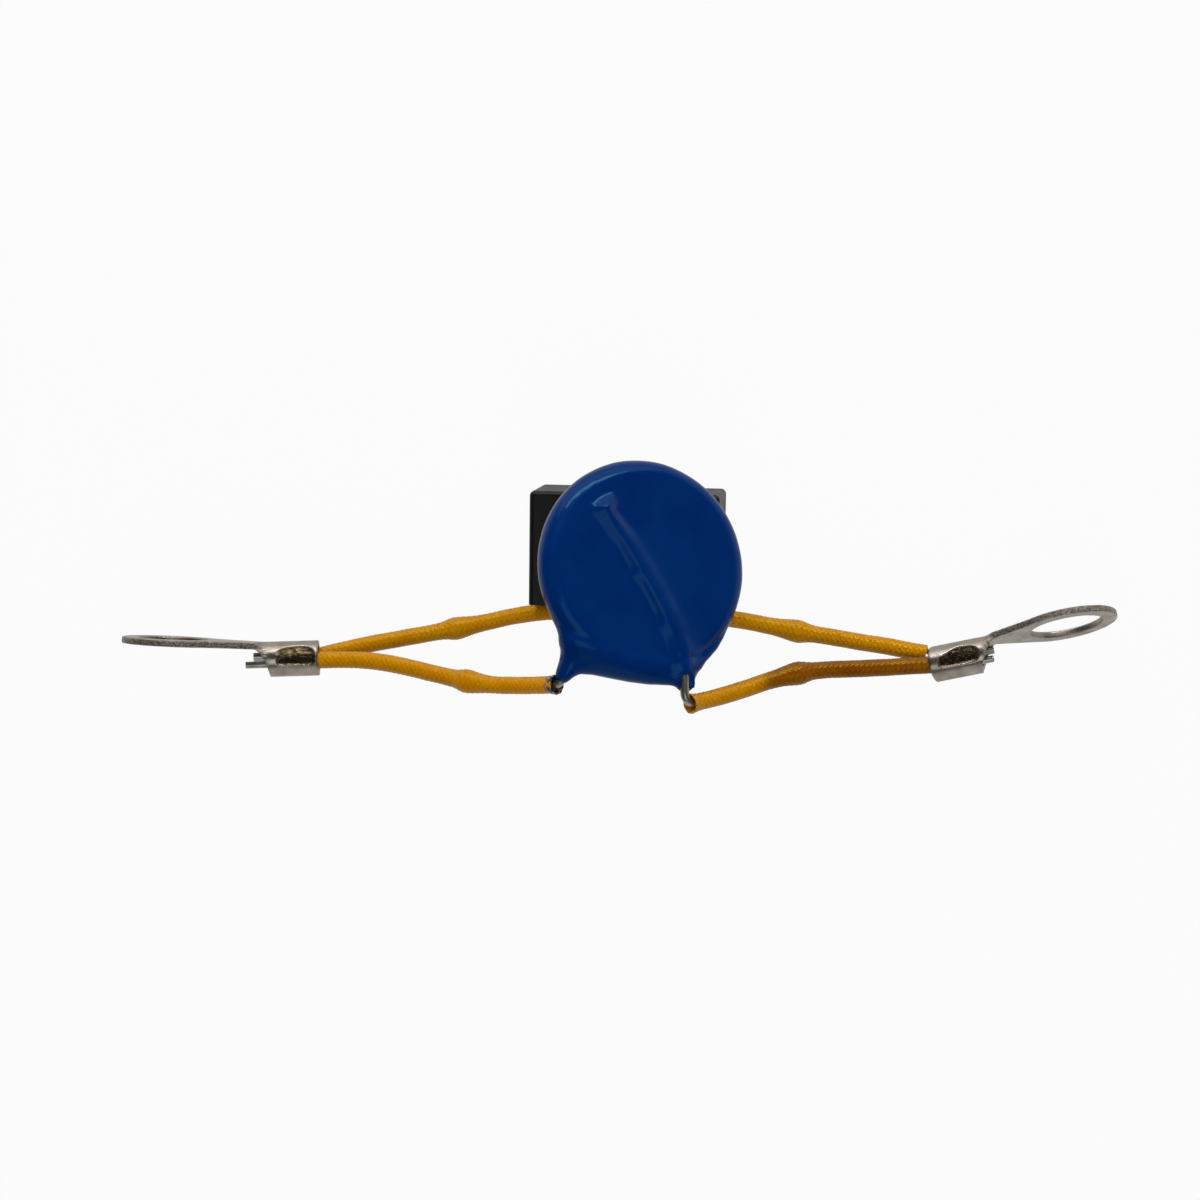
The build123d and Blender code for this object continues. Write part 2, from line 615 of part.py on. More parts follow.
# ---------------------------------------------------------------- one file each
pieces = [
    varistor_coating.part,
    ceramic_disc.part,
    front_electrode,
    rear_electrode,
    front_solder,
    rear_solder,
    varistor_lead_left,
    varistor_lead_right,
    capacitor_case.part,
    capacitor_potting.part,
    capacitor_winding.part,
    end_contact_left,
    end_contact_right,
    capacitor_lead_left,
    capacitor_lead_right,
    sleeve_varistor_left,
    sleeve_varistor_right,
    sleeve_capacitor_left,
    sleeve_capacitor_right,
    ring_terminal_left,
    ring_terminal_right,
]
for piece in pieces:
    export_step(piece, f"parts/{piece.label}.step")
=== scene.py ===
"""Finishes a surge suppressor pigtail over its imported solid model.

The varistor gets its dipped epoxy coat, the four leads their woven sleeves, the two
ring terminals soft stamped edges and tin plate, and the capacitor its moulded case.
Lengths are metres and the frame is the solid model's own.
"""
import math

import bmesh
import bpy
import numpy as np
from mathutils import Euler, Matrix, Vector, noise


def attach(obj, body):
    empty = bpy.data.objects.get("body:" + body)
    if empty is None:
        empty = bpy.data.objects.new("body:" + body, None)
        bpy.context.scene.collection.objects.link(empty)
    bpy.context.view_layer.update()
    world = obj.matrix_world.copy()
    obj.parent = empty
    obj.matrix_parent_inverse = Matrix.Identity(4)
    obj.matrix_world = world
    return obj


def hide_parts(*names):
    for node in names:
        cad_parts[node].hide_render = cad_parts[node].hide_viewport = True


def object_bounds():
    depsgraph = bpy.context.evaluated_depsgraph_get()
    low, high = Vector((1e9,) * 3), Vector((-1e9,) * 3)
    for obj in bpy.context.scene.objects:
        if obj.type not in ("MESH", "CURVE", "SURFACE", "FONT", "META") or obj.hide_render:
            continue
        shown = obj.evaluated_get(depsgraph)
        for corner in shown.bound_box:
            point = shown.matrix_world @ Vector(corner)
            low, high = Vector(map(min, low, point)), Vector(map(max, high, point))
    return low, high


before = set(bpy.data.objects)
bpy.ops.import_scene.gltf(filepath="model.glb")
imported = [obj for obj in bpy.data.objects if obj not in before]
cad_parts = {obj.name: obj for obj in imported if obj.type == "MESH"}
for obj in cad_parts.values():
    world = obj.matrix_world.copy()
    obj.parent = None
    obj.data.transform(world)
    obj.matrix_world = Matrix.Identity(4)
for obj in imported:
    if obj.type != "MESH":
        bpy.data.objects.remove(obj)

bl_info = {
    "name": "Suppressor Finisher",
    "version": (1, 0, 0),
    "blender": (4, 5, 0),
    "location": "3D View > Sidebar > Suppressor",
    "description": "Dips the varistor, weaves the sleeves and plates the terminals of a surge suppressor",
    "category": "Object",
}

MM = 0.001
MERGE_GAP = 0.001 * MM                  # corners of a solid's mesh closer than this are one
MODEL_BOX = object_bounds()

# ---------------------------------------------------------------- the varistor's own frame
DISC_FRAME = Matrix.LocRotScale(
    Vector((2.97, -0.95, 17.0)) * MM,
    Euler((math.radians(-17.3), math.radians(27.4), math.radians(-5.3)), "ZYX"),
    None,
)

# Millimetres in the disc's frame
FRONT_LEAD = [(-5.9, 5.2, 1.8), (-0.7, -0.6, 1.8), (4.9, -7.7, 1.8), (6.1, -11.0, 1.8), (6.4, -12.5, 1.8)]
REAR_LEAD = [
    (5.6, 5.0, -1.8), (1.6, -0.4, -1.8), (-5.2, -8.9, -1.8), (-6.5, -11.8, -1.8), (-6.66, -13.3, -1.8),
]
WEB_OUTLINE = [
    (-10.8, -4.6), (-10.4, -5.8), (-9.35, -7.7), (-8.1, -9.3), (-7.4, -10.7), (-7.2, -12.0), (-7.25, -13.0),
    (-7.1, -13.8), (-6.5, -14.0), (-5.9, -13.5), (-4.9, -13.0), (-3.6, -12.75), (-0.6, -12.6), (2.6, -12.65),
    (5.6, -12.5), (6.4, -12.6), (7.1, -12.7), (7.5, -12.2), (7.6, -11.4), (7.9, -10.5), (9.1, -8.9),
    (10.1, -7.5), (10.8, -6.1), (11.4, -4.0), (11.8, -1.8), (6.0, -2.0), (-6.0, -2.0),
]
WEB_DEPTHS = (-14.2, -9.8, -6.0)        # down from the disc's middle, lowest first
WEB_HALVES = (0.75, 1.30, 1.20)         # half thickness of the web there
WEB_LEANS = (13.0, 3.5, 0.0)            # degrees that it leans from the rear leg to the front leg there
WEB_BLANK = 2.4 * MM                     # thickness of the web's first block
CHIP_CENTRE = np.array((6.5, -12.7, 3.3)) * MM
CHIP_RADIUS = 1.7 * MM

# Millimetres in the model's frame: where each lead turns out of its component, and its run to the barrel
SLEEVE_ROUTES = {
    "sleeve_varistor_left": [
        (-9.2, -14.2, 20.4), (-14.5, -14.6, 18.2), (-18.7, -14.2, 16.6), (-25.6, -13.2, 14.2),
        (-30.7, -13.0, 12.9),
    ],
    "sleeve_varistor_right": [
        (12.3, -15.3, 16.8), (18.5, -13.4, 13.0), (22.5, -12.8, 11.2), (26.3, -12.8, 9.7), (30.6, -12.7, 8.3),
    ],
    "sleeve_capacitor_left": [
        (-11.8, -8.2, 4.5), (-18.1, -9.7, 5.8), (-21.9, -10.4, 6.9), (-27.7, -11.4, 9.0),
        (-31.2, -12.0, 10.5),
    ],
    "sleeve_capacitor_right": [
        (12.6, -8.2, 4.4), (17.9, -9.1, 4.5), (21.8, -9.7, 4.7), (26.5, -10.2, 5.2), (31.1, -11.1, 6.0),
    ],
}
SLEEVE_CORNERS = {
    "sleeve_varistor_left": DISC_FRAME @ (Vector((-6.7, -14.4, -1.8)) * MM),
    "sleeve_varistor_right": DISC_FRAME @ (Vector((6.65, -14.6, 1.8)) * MM),
    "sleeve_capacitor_left": Vector((-7.5, -7.75, 4.65)) * MM,
    "sleeve_capacitor_right": Vector((7.5, -7.75, 4.65)) * MM,
}


def terminal_frame(origin, along, out):
    """A terminal's frame: x from the barrel's mouth to the ring, z from the barrel to the sheet."""
    along, out = Vector(along).normalized(), Vector(out).normalized()
    across = out.cross(along).normalized()
    return Matrix.Translation(Vector(origin) * MM) @ Matrix((along, across, out)).transposed().to_4x4()


TERMINALS = {
    "ring_terminal_left": terminal_frame(
        (-35.1, -13.2, 11.7), (-0.9867, -0.0377, 0.1579), (-0.0504, 0.9958, -0.0769),
    ),
    "ring_terminal_right": terminal_frame(
        (35.6, -12.4, 7.0), (0.9732, 0.2301, -0.0003), (-0.2134, 0.9022, -0.3748),
    ),
}
BARREL_RADIUS = 2.05 * MM
SHEET_HEIGHT = 1.65 * MM                # from the barrel's axis to the middle of the sheet
# In millimetres, from the barrel's mouth to the middle of the ring
RING_DISTANCES = {"ring_terminal_left": 16.9, "ring_terminal_right": 15.5}
# Each crimp's dent, in millimetres: along the barrel, round it from the sheet's side (its hard edge, then
# its soft one), and the share of its width by which the soft edge steps in near the mouth
DENTS = {
    "ring_terminal_left": ((0.1, 4.75), (3.95, 1.45), 0.0),
    "ring_terminal_right": ((0.55, 5.2), (-4.3, -2.0), 0.30),
}
# Which way each mouth's lip is drawn out, across the barrel
LIPS = {
    "ring_terminal_left": np.array((0.0, 0.0, 0.0)),
    "ring_terminal_right": np.array((0.0, -0.973, -0.232)),
}
# How far the corner below each barrel's far end is worn back
WORN_CORNERS = {"ring_terminal_left": 0.10 * MM, "ring_terminal_right": 0.35 * MM}
# Each sleeve's terminal, its end there in the terminal's frame, and the sleeve beside it
SLEEVE_ENDS = {
    "sleeve_varistor_left": ("ring_terminal_left", (-0.15, 0.87, -0.2), "sleeve_capacitor_left"),
    "sleeve_capacitor_left": ("ring_terminal_left", (-0.15, -0.87, 0.2), "sleeve_varistor_left"),
    "sleeve_varistor_right": ("ring_terminal_right", (-0.15, -0.87, -0.2), "sleeve_capacitor_right"),
    "sleeve_capacitor_right": ("ring_terminal_right", (-1.0, 1.0, 0.25), "sleeve_varistor_right"),
}
SLEEVE_ROW = 0.06 * MM                   # length of a row of a sleeve's mesh
SPRUNG_SLEEVE = "sleeve_capacitor_right"
STUCK_SLEEVE = "sleeve_varistor_left"   # flakes of the coat stick to its mouth
SCORCHED_SLEEVE = "sleeve_varistor_right"
SPRUNG_LEAD = "capacitor_lead_right"


# ---------------------------------------------------------------- settings
class CoatingSettings(bpy.types.PropertyGroup):
    """The dipped coat of the varistor."""

    radius: bpy.props.FloatProperty(
        name="Disc Radius", description="Radius of the coated disc", default=12.1 * MM, unit="LENGTH",
    )
    half_thickness: bpy.props.FloatProperty(
        name="Half Thickness", description="Half the thickness of the coated disc",
        default=2.1 * MM, unit="LENGTH",
    )
    face_edge: bpy.props.FloatProperty(
        name="Face Edge", description="Radius of the rim's rounding", default=1.9 * MM, unit="LENGTH",
    )
    ridge_height: bpy.props.FloatProperty(
        name="Ridge Height", description="How high the coat stands over a lead",
        default=0.72 * MM, unit="LENGTH",
    )
    steep_side: bpy.props.FloatProperty(
        name="Steep Side", description="Width of a ridge's left flank", default=0.82 * MM, unit="LENGTH",
    )
    gentle_side: bpy.props.FloatProperty(
        name="Gentle Side", description="Width of a ridge's right flank", default=1.9 * MM, unit="LENGTH",
    )
    leg_radius: bpy.props.FloatProperty(
        name="Leg Radius", description="Radius of the coat over a lead past the rim",
        default=0.72 * MM, unit="LENGTH",
    )
    voxel: bpy.props.FloatProperty(
        name="Mesh Size", description="Size of the coat's mesh", default=0.17 * MM, unit="LENGTH",
    )
    colour: bpy.props.FloatVectorProperty(
        name="Colour", description="Colour of the epoxy", subtype="COLOR", size=3, min=0.0, max=1.0,
        default=(0.0, 0.0165, 0.115),
    )


class SleeveSettings(bpy.types.PropertyGroup):
    """The woven sleeves over the leads."""

    radius: bpy.props.FloatProperty(
        name="Radius", description="Outer radius of a sleeve", default=0.96 * MM, unit="LENGTH",
    )
    bulge: bpy.props.FloatProperty(
        name="Bulge", description="How far a slack stretch swells", default=0.36 * MM, unit="LENGTH",
    )
    relief: bpy.props.FloatProperty(
        name="Yarn Relief", description="Height of a yarn's crown above the gaps",
        default=0.065 * MM, unit="LENGTH",
    )
    pick: bpy.props.FloatProperty(
        name="Pick", description="Distance between crossings along a sleeve",
        default=0.62 * MM, unit="LENGTH",
    )
    yarns: bpy.props.IntProperty(
        name="Yarns", description="Yarns wound each way round a sleeve", default=8, min=4, max=16,
    )
    colour: bpy.props.FloatVectorProperty(
        name="Colour", description="Colour of the varnished yarn", subtype="COLOR", size=3, min=0.0, max=1.0,
        default=(0.60, 0.258, 0.0),
    )


class TerminalSettings(bpy.types.PropertyGroup):
    """The crimped ring terminals."""

    voxel: bpy.props.FloatProperty(
        name="Mesh Size", description="Size of the mesh of a terminal", default=0.1 * MM, unit="LENGTH",
    )
    rounds: bpy.props.IntProperty(
        name="Edge Softening", description="Smoothing rounds that soften the stamped edges",
        default=6, min=0, max=20,
    )
    dent_depth: bpy.props.FloatProperty(
        name="Dent Depth", description="Depth of the crimp in the barrel", default=0.34 * MM, unit="LENGTH",
    )
    ring_twist: bpy.props.FloatProperty(
        name="Ring Twist", description="How far the left ring is twisted on its neck",
        default=math.radians(1.3),
        unit="ROTATION",
    )
    colour: bpy.props.FloatVectorProperty(
        name="Colour", description="Colour of the tin plate", subtype="COLOR", size=3, min=0.0, max=1.0,
        default=(0.50, 0.455, 0.40),
    )


class StageSettings(bpy.types.PropertyGroup):
    """Floor, lamps and camera."""

    key_power: bpy.props.FloatProperty(
        name="Key Power", description="Power of the long lamp behind the object",
        default=0.85, min=0.0, unit="POWER",
    )
    fill_power: bpy.props.FloatProperty(
        name="Fill Power", description="Power of the wide lamp overhead", default=0.35, min=0.0, unit="POWER",
    )
    bounce_power: bpy.props.FloatProperty(
        name="Bounce Power", description="Power of the lamp that isn't mirrored",
        default=1.6, min=0.0, unit="POWER",
    )
    focal_length: bpy.props.FloatProperty(
        name="Focal Length", description="Focal length of the camera", default=76.95, min=10.0, unit="CAMERA",
    )


# ---------------------------------------------------------------- meshes
def mesh_from(bm, name):
    """The bmesh as a new mesh; the bmesh is freed."""
    mesh = bpy.data.meshes.new(name)
    bm.to_mesh(mesh)
    bm.free()
    return mesh


def evaluated_mesh(mesh, modifiers):
    """A new mesh: the given one with modifiers of these kinds and settings applied in order."""
    holder = bpy.data.objects.new("holder", mesh)
    bpy.context.scene.collection.objects.link(holder)
    for kind, settings in modifiers:
        modifier = holder.modifiers.new(kind.title(), kind)
        for key, value in settings.items():
            setattr(modifier, key, value)
    shown = holder.evaluated_get(bpy.context.evaluated_depsgraph_get())
    result = bpy.data.meshes.new_from_object(shown)
    bpy.data.objects.remove(holder)
    bpy.data.meshes.remove(mesh)
    return result


def softened_copy(name, ending, voxel, rounds):
    """A solid's mesh, merged, remeshed evenly and smoothed."""
    bm = bmesh.new()
    bm.from_mesh(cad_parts[name].data)
    bmesh.ops.remove_doubles(bm, verts=bm.verts, dist=MERGE_GAP)
    return evaluated_mesh(mesh_from(bm, name + ending), [
        ("REMESH", {"mode": "VOXEL", "voxel_size": voxel}),
        ("SMOOTH", {"factor": 0.5, "iterations": rounds}),
    ])


def read_points(mesh):
    points = np.empty(len(mesh.vertices) * 3)
    mesh.vertices.foreach_get("co", points)
    return points.reshape(-1, 3)


def read_normals(mesh):
    normals = np.empty(len(mesh.vertices) * 3)
    mesh.vertex_normals.foreach_get("vector", normals)
    return normals.reshape(-1, 3)


def write_points(mesh, points):
    mesh.vertices.foreach_set("co", points.ravel())
    mesh.update()


def write_attribute(mesh, name, values):
    """One number for each vertex, for a material to read."""
    attribute = mesh.attributes.new(name, "FLOAT", "POINT")
    attribute.data.foreach_set("value", np.asarray(values, np.float32))


def shade_smooth(mesh):
    mesh.polygons.foreach_set("use_smooth", [True] * len(mesh.polygons))


def finish_piece(name, mesh, material, slot, *nodes):
    """The mesh as a piece of the object that stands for these solids."""
    piece = bpy.data.objects.new(name, mesh)
    bpy.context.scene.collection.objects.link(piece)
    mesh.materials.clear()
    mesh.materials.append(material)
    shade_smooth(mesh)
    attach(piece, "root")
    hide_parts(*nodes)


def cover_nodes(material, *nodes):
    """The material on solids that are shown as they are."""
    for node in nodes:
        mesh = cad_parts[node].data
        mesh.materials.clear()
        mesh.materials.append(material)


def smooth_line(points):
    """Points along the smooth spline that has these as its control points."""
    curve = bpy.data.curves.new("line", "CURVE")
    curve.dimensions = "3D"
    spline = curve.splines.new("NURBS")
    spline.points.add(len(points) - 1)
    for knot, point in zip(spline.points, points):
        knot.co = (*point, 1.0)
    spline.order_u = 3
    spline.use_endpoint_u = True
    spline.resolution_u = 12
    holder = bpy.data.objects.new("line", curve)
    bpy.context.scene.collection.objects.link(holder)
    mesh = bpy.data.meshes.new_from_object(holder.evaluated_get(bpy.context.evaluated_depsgraph_get()))
    line = read_points(mesh)
    bpy.data.objects.remove(holder)
    bpy.data.curves.remove(curve)
    bpy.data.meshes.remove(mesh)
    return line


def unevenness(points, size, seed):
    """Smooth noise from about -1 to 1 at each point."""
    shift = Vector((seed * 17.3, seed * 5.1, seed * 9.7))
    return np.array([noise.noise(Vector(point) / size + shift) for point in points])


def eased(values, start, end):
    """0 before start, 1 past end, smooth between."""
    share = np.clip((values - start) / (end - start), 0.0, 1.0)
    return share * share * (3.0 - 2.0 * share)


def hump(values, width):
    """1 at zero, falling smoothly to about a third at the width."""
    return np.exp(-((values / width) ** 2))


# ---------------------------------------------------------------- materials
class NodeBench:
    """A node tree with short ways to add to it."""

    def __init__(self, owner):
        owner.use_nodes = True
        self.tree = owner.node_tree

    def add(self, kind, inputs=(), **settings):
        """A node; inputs pairs each socket with a value or with the output that feeds it."""
        node = self.tree.nodes.new(kind)
        for key, value in settings.items():
            setattr(node, key, value)
        for socket, value in inputs:
            self.set(node.inputs[socket], value)
        return node

    def set(self, socket, value):
        if isinstance(value, bpy.types.NodeSocket):
            self.tree.links.new(value, socket)
        else:
            socket.default_value = value

    def show(self, share, first, second, output):
        """Mixes two shaders by a share for the output node to show."""
        mix = self.add("ShaderNodeMixShader", [(0, share), (1, first.outputs[0]), (2, second.outputs[0])])
        self.set(self.tree.nodes[output].inputs["Surface"], mix.outputs[0])


class Finish(NodeBench):
    """A new material round one Principled shader."""

    def __init__(self, name, **sockets):
        self.material = bpy.data.materials.new(name)
        super().__init__(self.material)
        self.shader = self.tree.nodes["Principled BSDF"]
        self.shade(**sockets)

    def shade(self, **sockets):
        for socket, value in sockets.items():
            self.set(self.shader.inputs[socket.replace("_", " ")], value)

    def place(self, stretch=(1.0, 1.0, 1.0), source="Object"):
        """Coordinates on the piece, stretched along each axis."""
        coordinates = self.add("ShaderNodeTexCoord").outputs[source]
        return self.add("ShaderNodeMapping", [("Vector", coordinates), ("Scale", stretch)]).outputs["Vector"]

    def clouds(self, place, size, detail=3.0, roughness=0.5):
        """Noise whose patches are about this size."""
        inputs = [("Vector", place), ("Scale", 1.0 / size), ("Detail", detail), ("Roughness", roughness)]
        return self.add("ShaderNodeTexNoise", inputs).outputs["Fac"]

    def attribute(self, name):
        return self.add("ShaderNodeAttribute", attribute_name=name).outputs["Fac"]

    def span(self, value, low, high, start=0.0, end=1.0):
        """The value from low to high, as start to end, held beyond them."""
        inputs = [("Value", value), ("From Min", low), ("From Max", high), ("To Min", start), ("To Max", end)]
        return self.add("ShaderNodeMapRange", inputs).outputs["Result"]

    def blend(self, share, first, second):
        """Two colours mixed by a share."""
        node = self.add("ShaderNodeMix", data_type="RGBA")
        for index, value in ((0, share), (6, first), (7, second)):
            self.set(node.inputs[index], value)
        return node.outputs[2]

    def figure(self, operation, first, second):
        return self.add("ShaderNodeMath", [(0, first), (1, second)], operation=operation).outputs[0]

    def bump(self, height, distance, strength=1.0, under=None):
        inputs = [("Height", height), ("Distance", distance), ("Strength", strength)]
        if under:
            inputs.append(("Normal", under))
        return self.add("ShaderNodeBump", inputs).outputs["Normal"]


def opaque(colour):
    return (*colour, 1.0)


def tinted(colour, shares):
    """The colour with each channel scaled by its share."""
    return opaque(channel * share for channel, share in zip(colour, shares))


def blue_epoxy(colour):
    """Dipped epoxy: deep gloss over a smooth skin with a very fine orange peel."""
    finish = Finish("blue_epoxy", IOR=1.45, Specular_IOR_Level=0.36, Specular_Tint=(0.2, 0.65, 1.0, 1.0))
    place = finish.place()
    drift = finish.span(finish.clouds(place, 7.0 * MM, 2.0), 0.35, 0.65)
    thin = tinted(colour, (1.0, 1.30, 1.15))
    finish.shade(Base_Color=finish.blend(drift, opaque(colour), thin))
    finish.shade(Roughness=finish.span(finish.clouds(place, 1.6 * MM, 4.0), 0.3, 0.7, 0.13, 0.20))
    ripple = finish.bump(finish.clouds(place, 1.1 * MM, 2.0), 0.010 * MM, 0.4)
    finish.shade(Normal=finish.bump(finish.clouds(place, 0.16 * MM, 2.0), 0.004 * MM, 0.5, ripple))
    return finish.material


def braid_yellow(colour):
    """Varnished yarn: glossy crowns, amber gaps, specks of dirt, a browned stretch and flakes of the coat."""
    finish = Finish("yellow_braid", IOR=1.45, Specular_IOR_Level=0.75, Specular_Tint=(1.0, 0.84, 0.12, 1.0))
    place = finish.place()
    crown = finish.attribute("crown")
    amber = tinted(colour, (0.84, 0.72, 0.3))
    yarn = finish.blend(finish.span(crown, 0.05, 0.65), amber, opaque(colour))
    tone = finish.span(finish.clouds(place, 2.2 * MM, 3.0), 0.35, 0.7)
    toned = finish.blend(finish.figure("MULTIPLY", tone, 0.6), yarn, amber)
    soil = finish.span(finish.clouds(place, 3.0 * MM, 4.0, 0.6), 0.3, 0.6, 0.8, 1.0)
    scorch = finish.figure("MULTIPLY", soil, finish.attribute("browned"))
    browned = finish.blend(scorch, toned, opaque((0.165, 0.037, 0.0)))
    specks = finish.span(finish.clouds(place, 0.42 * MM, 2.0), 0.69, 0.74)
    dirty = finish.blend(finish.figure("MULTIPLY", specks, 0.75), browned, opaque((0.05, 0.02, 0.006)))
    flakes = finish.span(finish.clouds(place, 0.6 * MM, 2.0), 0.44, 0.50)
    flakes = finish.figure("MULTIPLY", flakes, finish.attribute("stuck"))
    finish.shade(Base_Color=finish.blend(flakes, dirty, opaque((0.0, 0.030, 0.12))))
    finish.shade(Roughness=finish.span(finish.clouds(place, 0.6 * MM, 3.0), 0.3, 0.7, 0.10, 0.24))
    threads = finish.clouds(finish.place((90.0, 40.0, 1.0), "UV"), 1.0, 2.0)
    weave = finish.bump(threads, 0.015 * MM, 0.5)
    finish.shade(Normal=finish.bump(finish.clouds(place, 0.18 * MM, 2.0), 0.02 * MM, 0.5, weave))
    return finish.material


def tin_plate(colour):
    """Tin on stamped copper: soft gloss, torn grain on sheared edges, painted dark shade and gold reflections
    in the dents.
    """
    finish = Finish("tin_plate", Metallic=1.0)
    place = finish.place()
    torn, dent = finish.attribute("torn"), finish.attribute("dent")
    cloud = finish.span(finish.clouds(place, 1.4 * MM, 4.0), 0.3, 0.7)
    worn = tinted(colour, (0.70, 0.65, 0.58))
    plate = finish.blend(cloud, opaque(colour), worn)
    grain = finish.span(finish.clouds(place, 0.22 * MM, 3.0, 0.6), 0.38, 0.62)
    broken = finish.blend(grain, opaque((0.17, 0.14, 0.10)), opaque(colour))
    edged = finish.blend(finish.figure("MULTIPLY", torn, 0.85), plate, broken)
    # Painted light in the dents: streaky gold painted reflections where shallower, near-black painted shade
    # where deepest, over nearly all of the plate's colour there
    streaks = finish.span(finish.clouds(finish.place((0.3, 1.0, 1.0)), 0.24 * MM, 3.0, 0.6), 0.44, 0.66)
    painted_dent_glint = finish.blend(streaks, opaque((0.035, 0.024, 0.012)), opaque((0.42, 0.29, 0.14)))
    painted_dent_shade = finish.blend(streaks, opaque((0.012, 0.008, 0.005)), opaque((0.07, 0.045, 0.024)))
    pressed = finish.blend(finish.span(dent, 0.72, 0.92), painted_dent_glint, painted_dent_shade)
    finish.shade(Base_Color=finish.blend(finish.span(dent, 0.2, 0.5, 0.0, 0.97), edged, pressed))
    plain = finish.span(cloud, 0.0, 1.0, 0.22, 0.36)
    rough = finish.figure("ADD", plain, finish.figure("MULTIPLY", torn, 0.18))
    finish.shade(Roughness=rough)
    dents = finish.bump(finish.clouds(place, 0.9 * MM, 2.0), 0.03 * MM, 0.6)
    pits = finish.figure("MULTIPLY", grain, finish.figure("MAXIMUM", torn, dent))
    finish.shade(Normal=finish.bump(pits, 0.06 * MM, 0.8, dents))
    return finish.material


def plain_metal(name, colour, roughness, grain_size):
    """Bare or coated metal with cloudy wear and a fine grain."""
    finish = Finish(name, Metallic=1.0)
    place = finish.place()
    cloud = finish.span(finish.clouds(place, 6.0 * grain_size, 3.0), 0.3, 0.7)
    worn = tinted(colour, (0.65, 0.65, 0.65))
    finish.shade(Base_Color=finish.blend(cloud, opaque(colour), worn))
    finish.shade(Roughness=finish.span(cloud, 0.0, 1.0, roughness, roughness + 0.15))
    finish.shade(Normal=finish.bump(finish.clouds(place, grain_size, 2.0), 0.15 * grain_size, 0.5))
    return finish.material


def plain_solid(name, colour, shade, roughness, grain_size, depth, ior=1.5):
    """Plastic, resin or ceramic: two close tones and a fine moulded or fired grain."""
    finish = Finish(name, IOR=ior)
    place = finish.place()
    cloud = finish.span(finish.clouds(place, 12.0 * grain_size, 4.0), 0.3, 0.7)
    finish.shade(Base_Color=finish.blend(cloud, opaque(colour), opaque(shade)))
    finish.shade(Roughness=finish.span(cloud, 0.0, 1.0, roughness, roughness + 0.1))
    finish.shade(Normal=finish.bump(finish.clouds(place, grain_size, 3.0), depth, 0.6))
    return finish.material


# ---------------------------------------------------------------- the dipped coat
def tube_between(bm, start, end, radius):
    """A closed cylinder from start to end."""
    run = end - start
    turn = run.to_track_quat("Z", "Y").to_matrix().to_4x4()
    bmesh.ops.create_cone(
        bm, cap_ends=True, segments=24, radius1=radius, radius2=radius, depth=run.length,
        matrix=Matrix.Translation((start + end) / 2) @ turn,
    )


def coating_blank(settings):
    """Closed shapes that the coat is drawn over: disc, web, and a bar on each lead."""
    bm = bmesh.new()
    bmesh.ops.create_cone(
        bm, cap_ends=True, segments=96, radius1=settings.radius, radius2=settings.radius,
        depth=2 * settings.half_thickness,
    )
    rims = [edge for edge in bm.edges if abs(edge.verts[0].co.z - edge.verts[1].co.z) < MERGE_GAP]
    bmesh.ops.bevel(
        bm, geom=rims, affect="EDGES", offset=settings.face_edge, segments=4, profile=0.5, material=-1,
    )
    corners = [bm.verts.new((x * MM, y * MM, -WEB_BLANK / 2)) for x, y in WEB_OUTLINE]
    sheet = bm.faces.new(corners)
    grown = bmesh.ops.extrude_face_region(bm, geom=[sheet])["geom"]
    raised = [part for part in grown if isinstance(part, bmesh.types.BMVert)]
    bmesh.ops.translate(bm, verts=raised, vec=(0.0, 0.0, WEB_BLANK))
    for vert in corners + raised:
        lean = math.radians(float(np.interp(vert.co.y / MM, WEB_DEPTHS, WEB_LEANS)))
        vert.co.z += vert.co.x * math.tan(lean)
    for lead in (FRONT_LEAD, REAR_LEAD):
        points = [Vector(point) * MM for point in lead]
        for start, end in zip(points, points[1:]):
            tube_between(bm, start, end, settings.leg_radius)
        for point in points:
            bmesh.ops.create_icosphere(
                bm, subdivisions=3, radius=settings.leg_radius, matrix=Matrix.Translation(point),
            )
    bmesh.ops.recalc_face_normals(bm, faces=bm.faces)
    return mesh_from(bm, "varistor_coat")


def flowing_union(first, second, flow):
    """Two depths joined with a fillet as wide as the flow."""
    share = np.clip(0.5 + 0.5 * (second - first) / flow, 0.0, 1.0)
    return second * (1.0 - share) + first * share - flow * share * (1.0 - share)


def rounded_plate(across, up, edge):
    """Depth below a plate's rounded edge, from the depths inside its outline and its faces."""
    across, up = across + edge, up + edge
    outside = np.hypot(np.maximum(across, 0.0), np.maximum(up, 0.0))
    return outside + np.minimum(np.maximum(across, up), 0.0) - edge


def outline_depth(points, outline):
    """Distance from points to a closed outline, negative inside it."""
    nearest = np.full(len(points), np.inf)
    inside = np.zeros(len(points), bool)
    for start, end in zip(outline, np.roll(outline, -1, axis=0)):
        run, reach = end - start, points - start
        share = np.clip(reach @ run / (run @ run), 0.0, 1.0)
        nearest = np.minimum(nearest, np.linalg.norm(reach - share[:, None] * run, axis=1))
        crosses = (start[1] > points[:, 1]) != (end[1] > points[:, 1])
        level = start[0] + (points[:, 1] - start[1]) * run[0] / (run[1] or 1e-12)
        inside ^= crosses & (points[:, 0] < level)
    return np.where(inside, -nearest, nearest)


def line_depth(points, line, radii):
    """Distance from points to a round bar along a line."""
    nearest = np.full(len(points), np.inf)
    for start, end, radius, next_radius in zip(line, line[1:], radii, radii[1:]):
        run = end - start
        share = np.clip((points - start) @ run / (run @ run), 0.0, 1.0)
        distance = np.linalg.norm(points - start - share[:, None] * run, axis=1)
        nearest = np.minimum(nearest, distance - radius - share * (next_radius - radius))
    return nearest


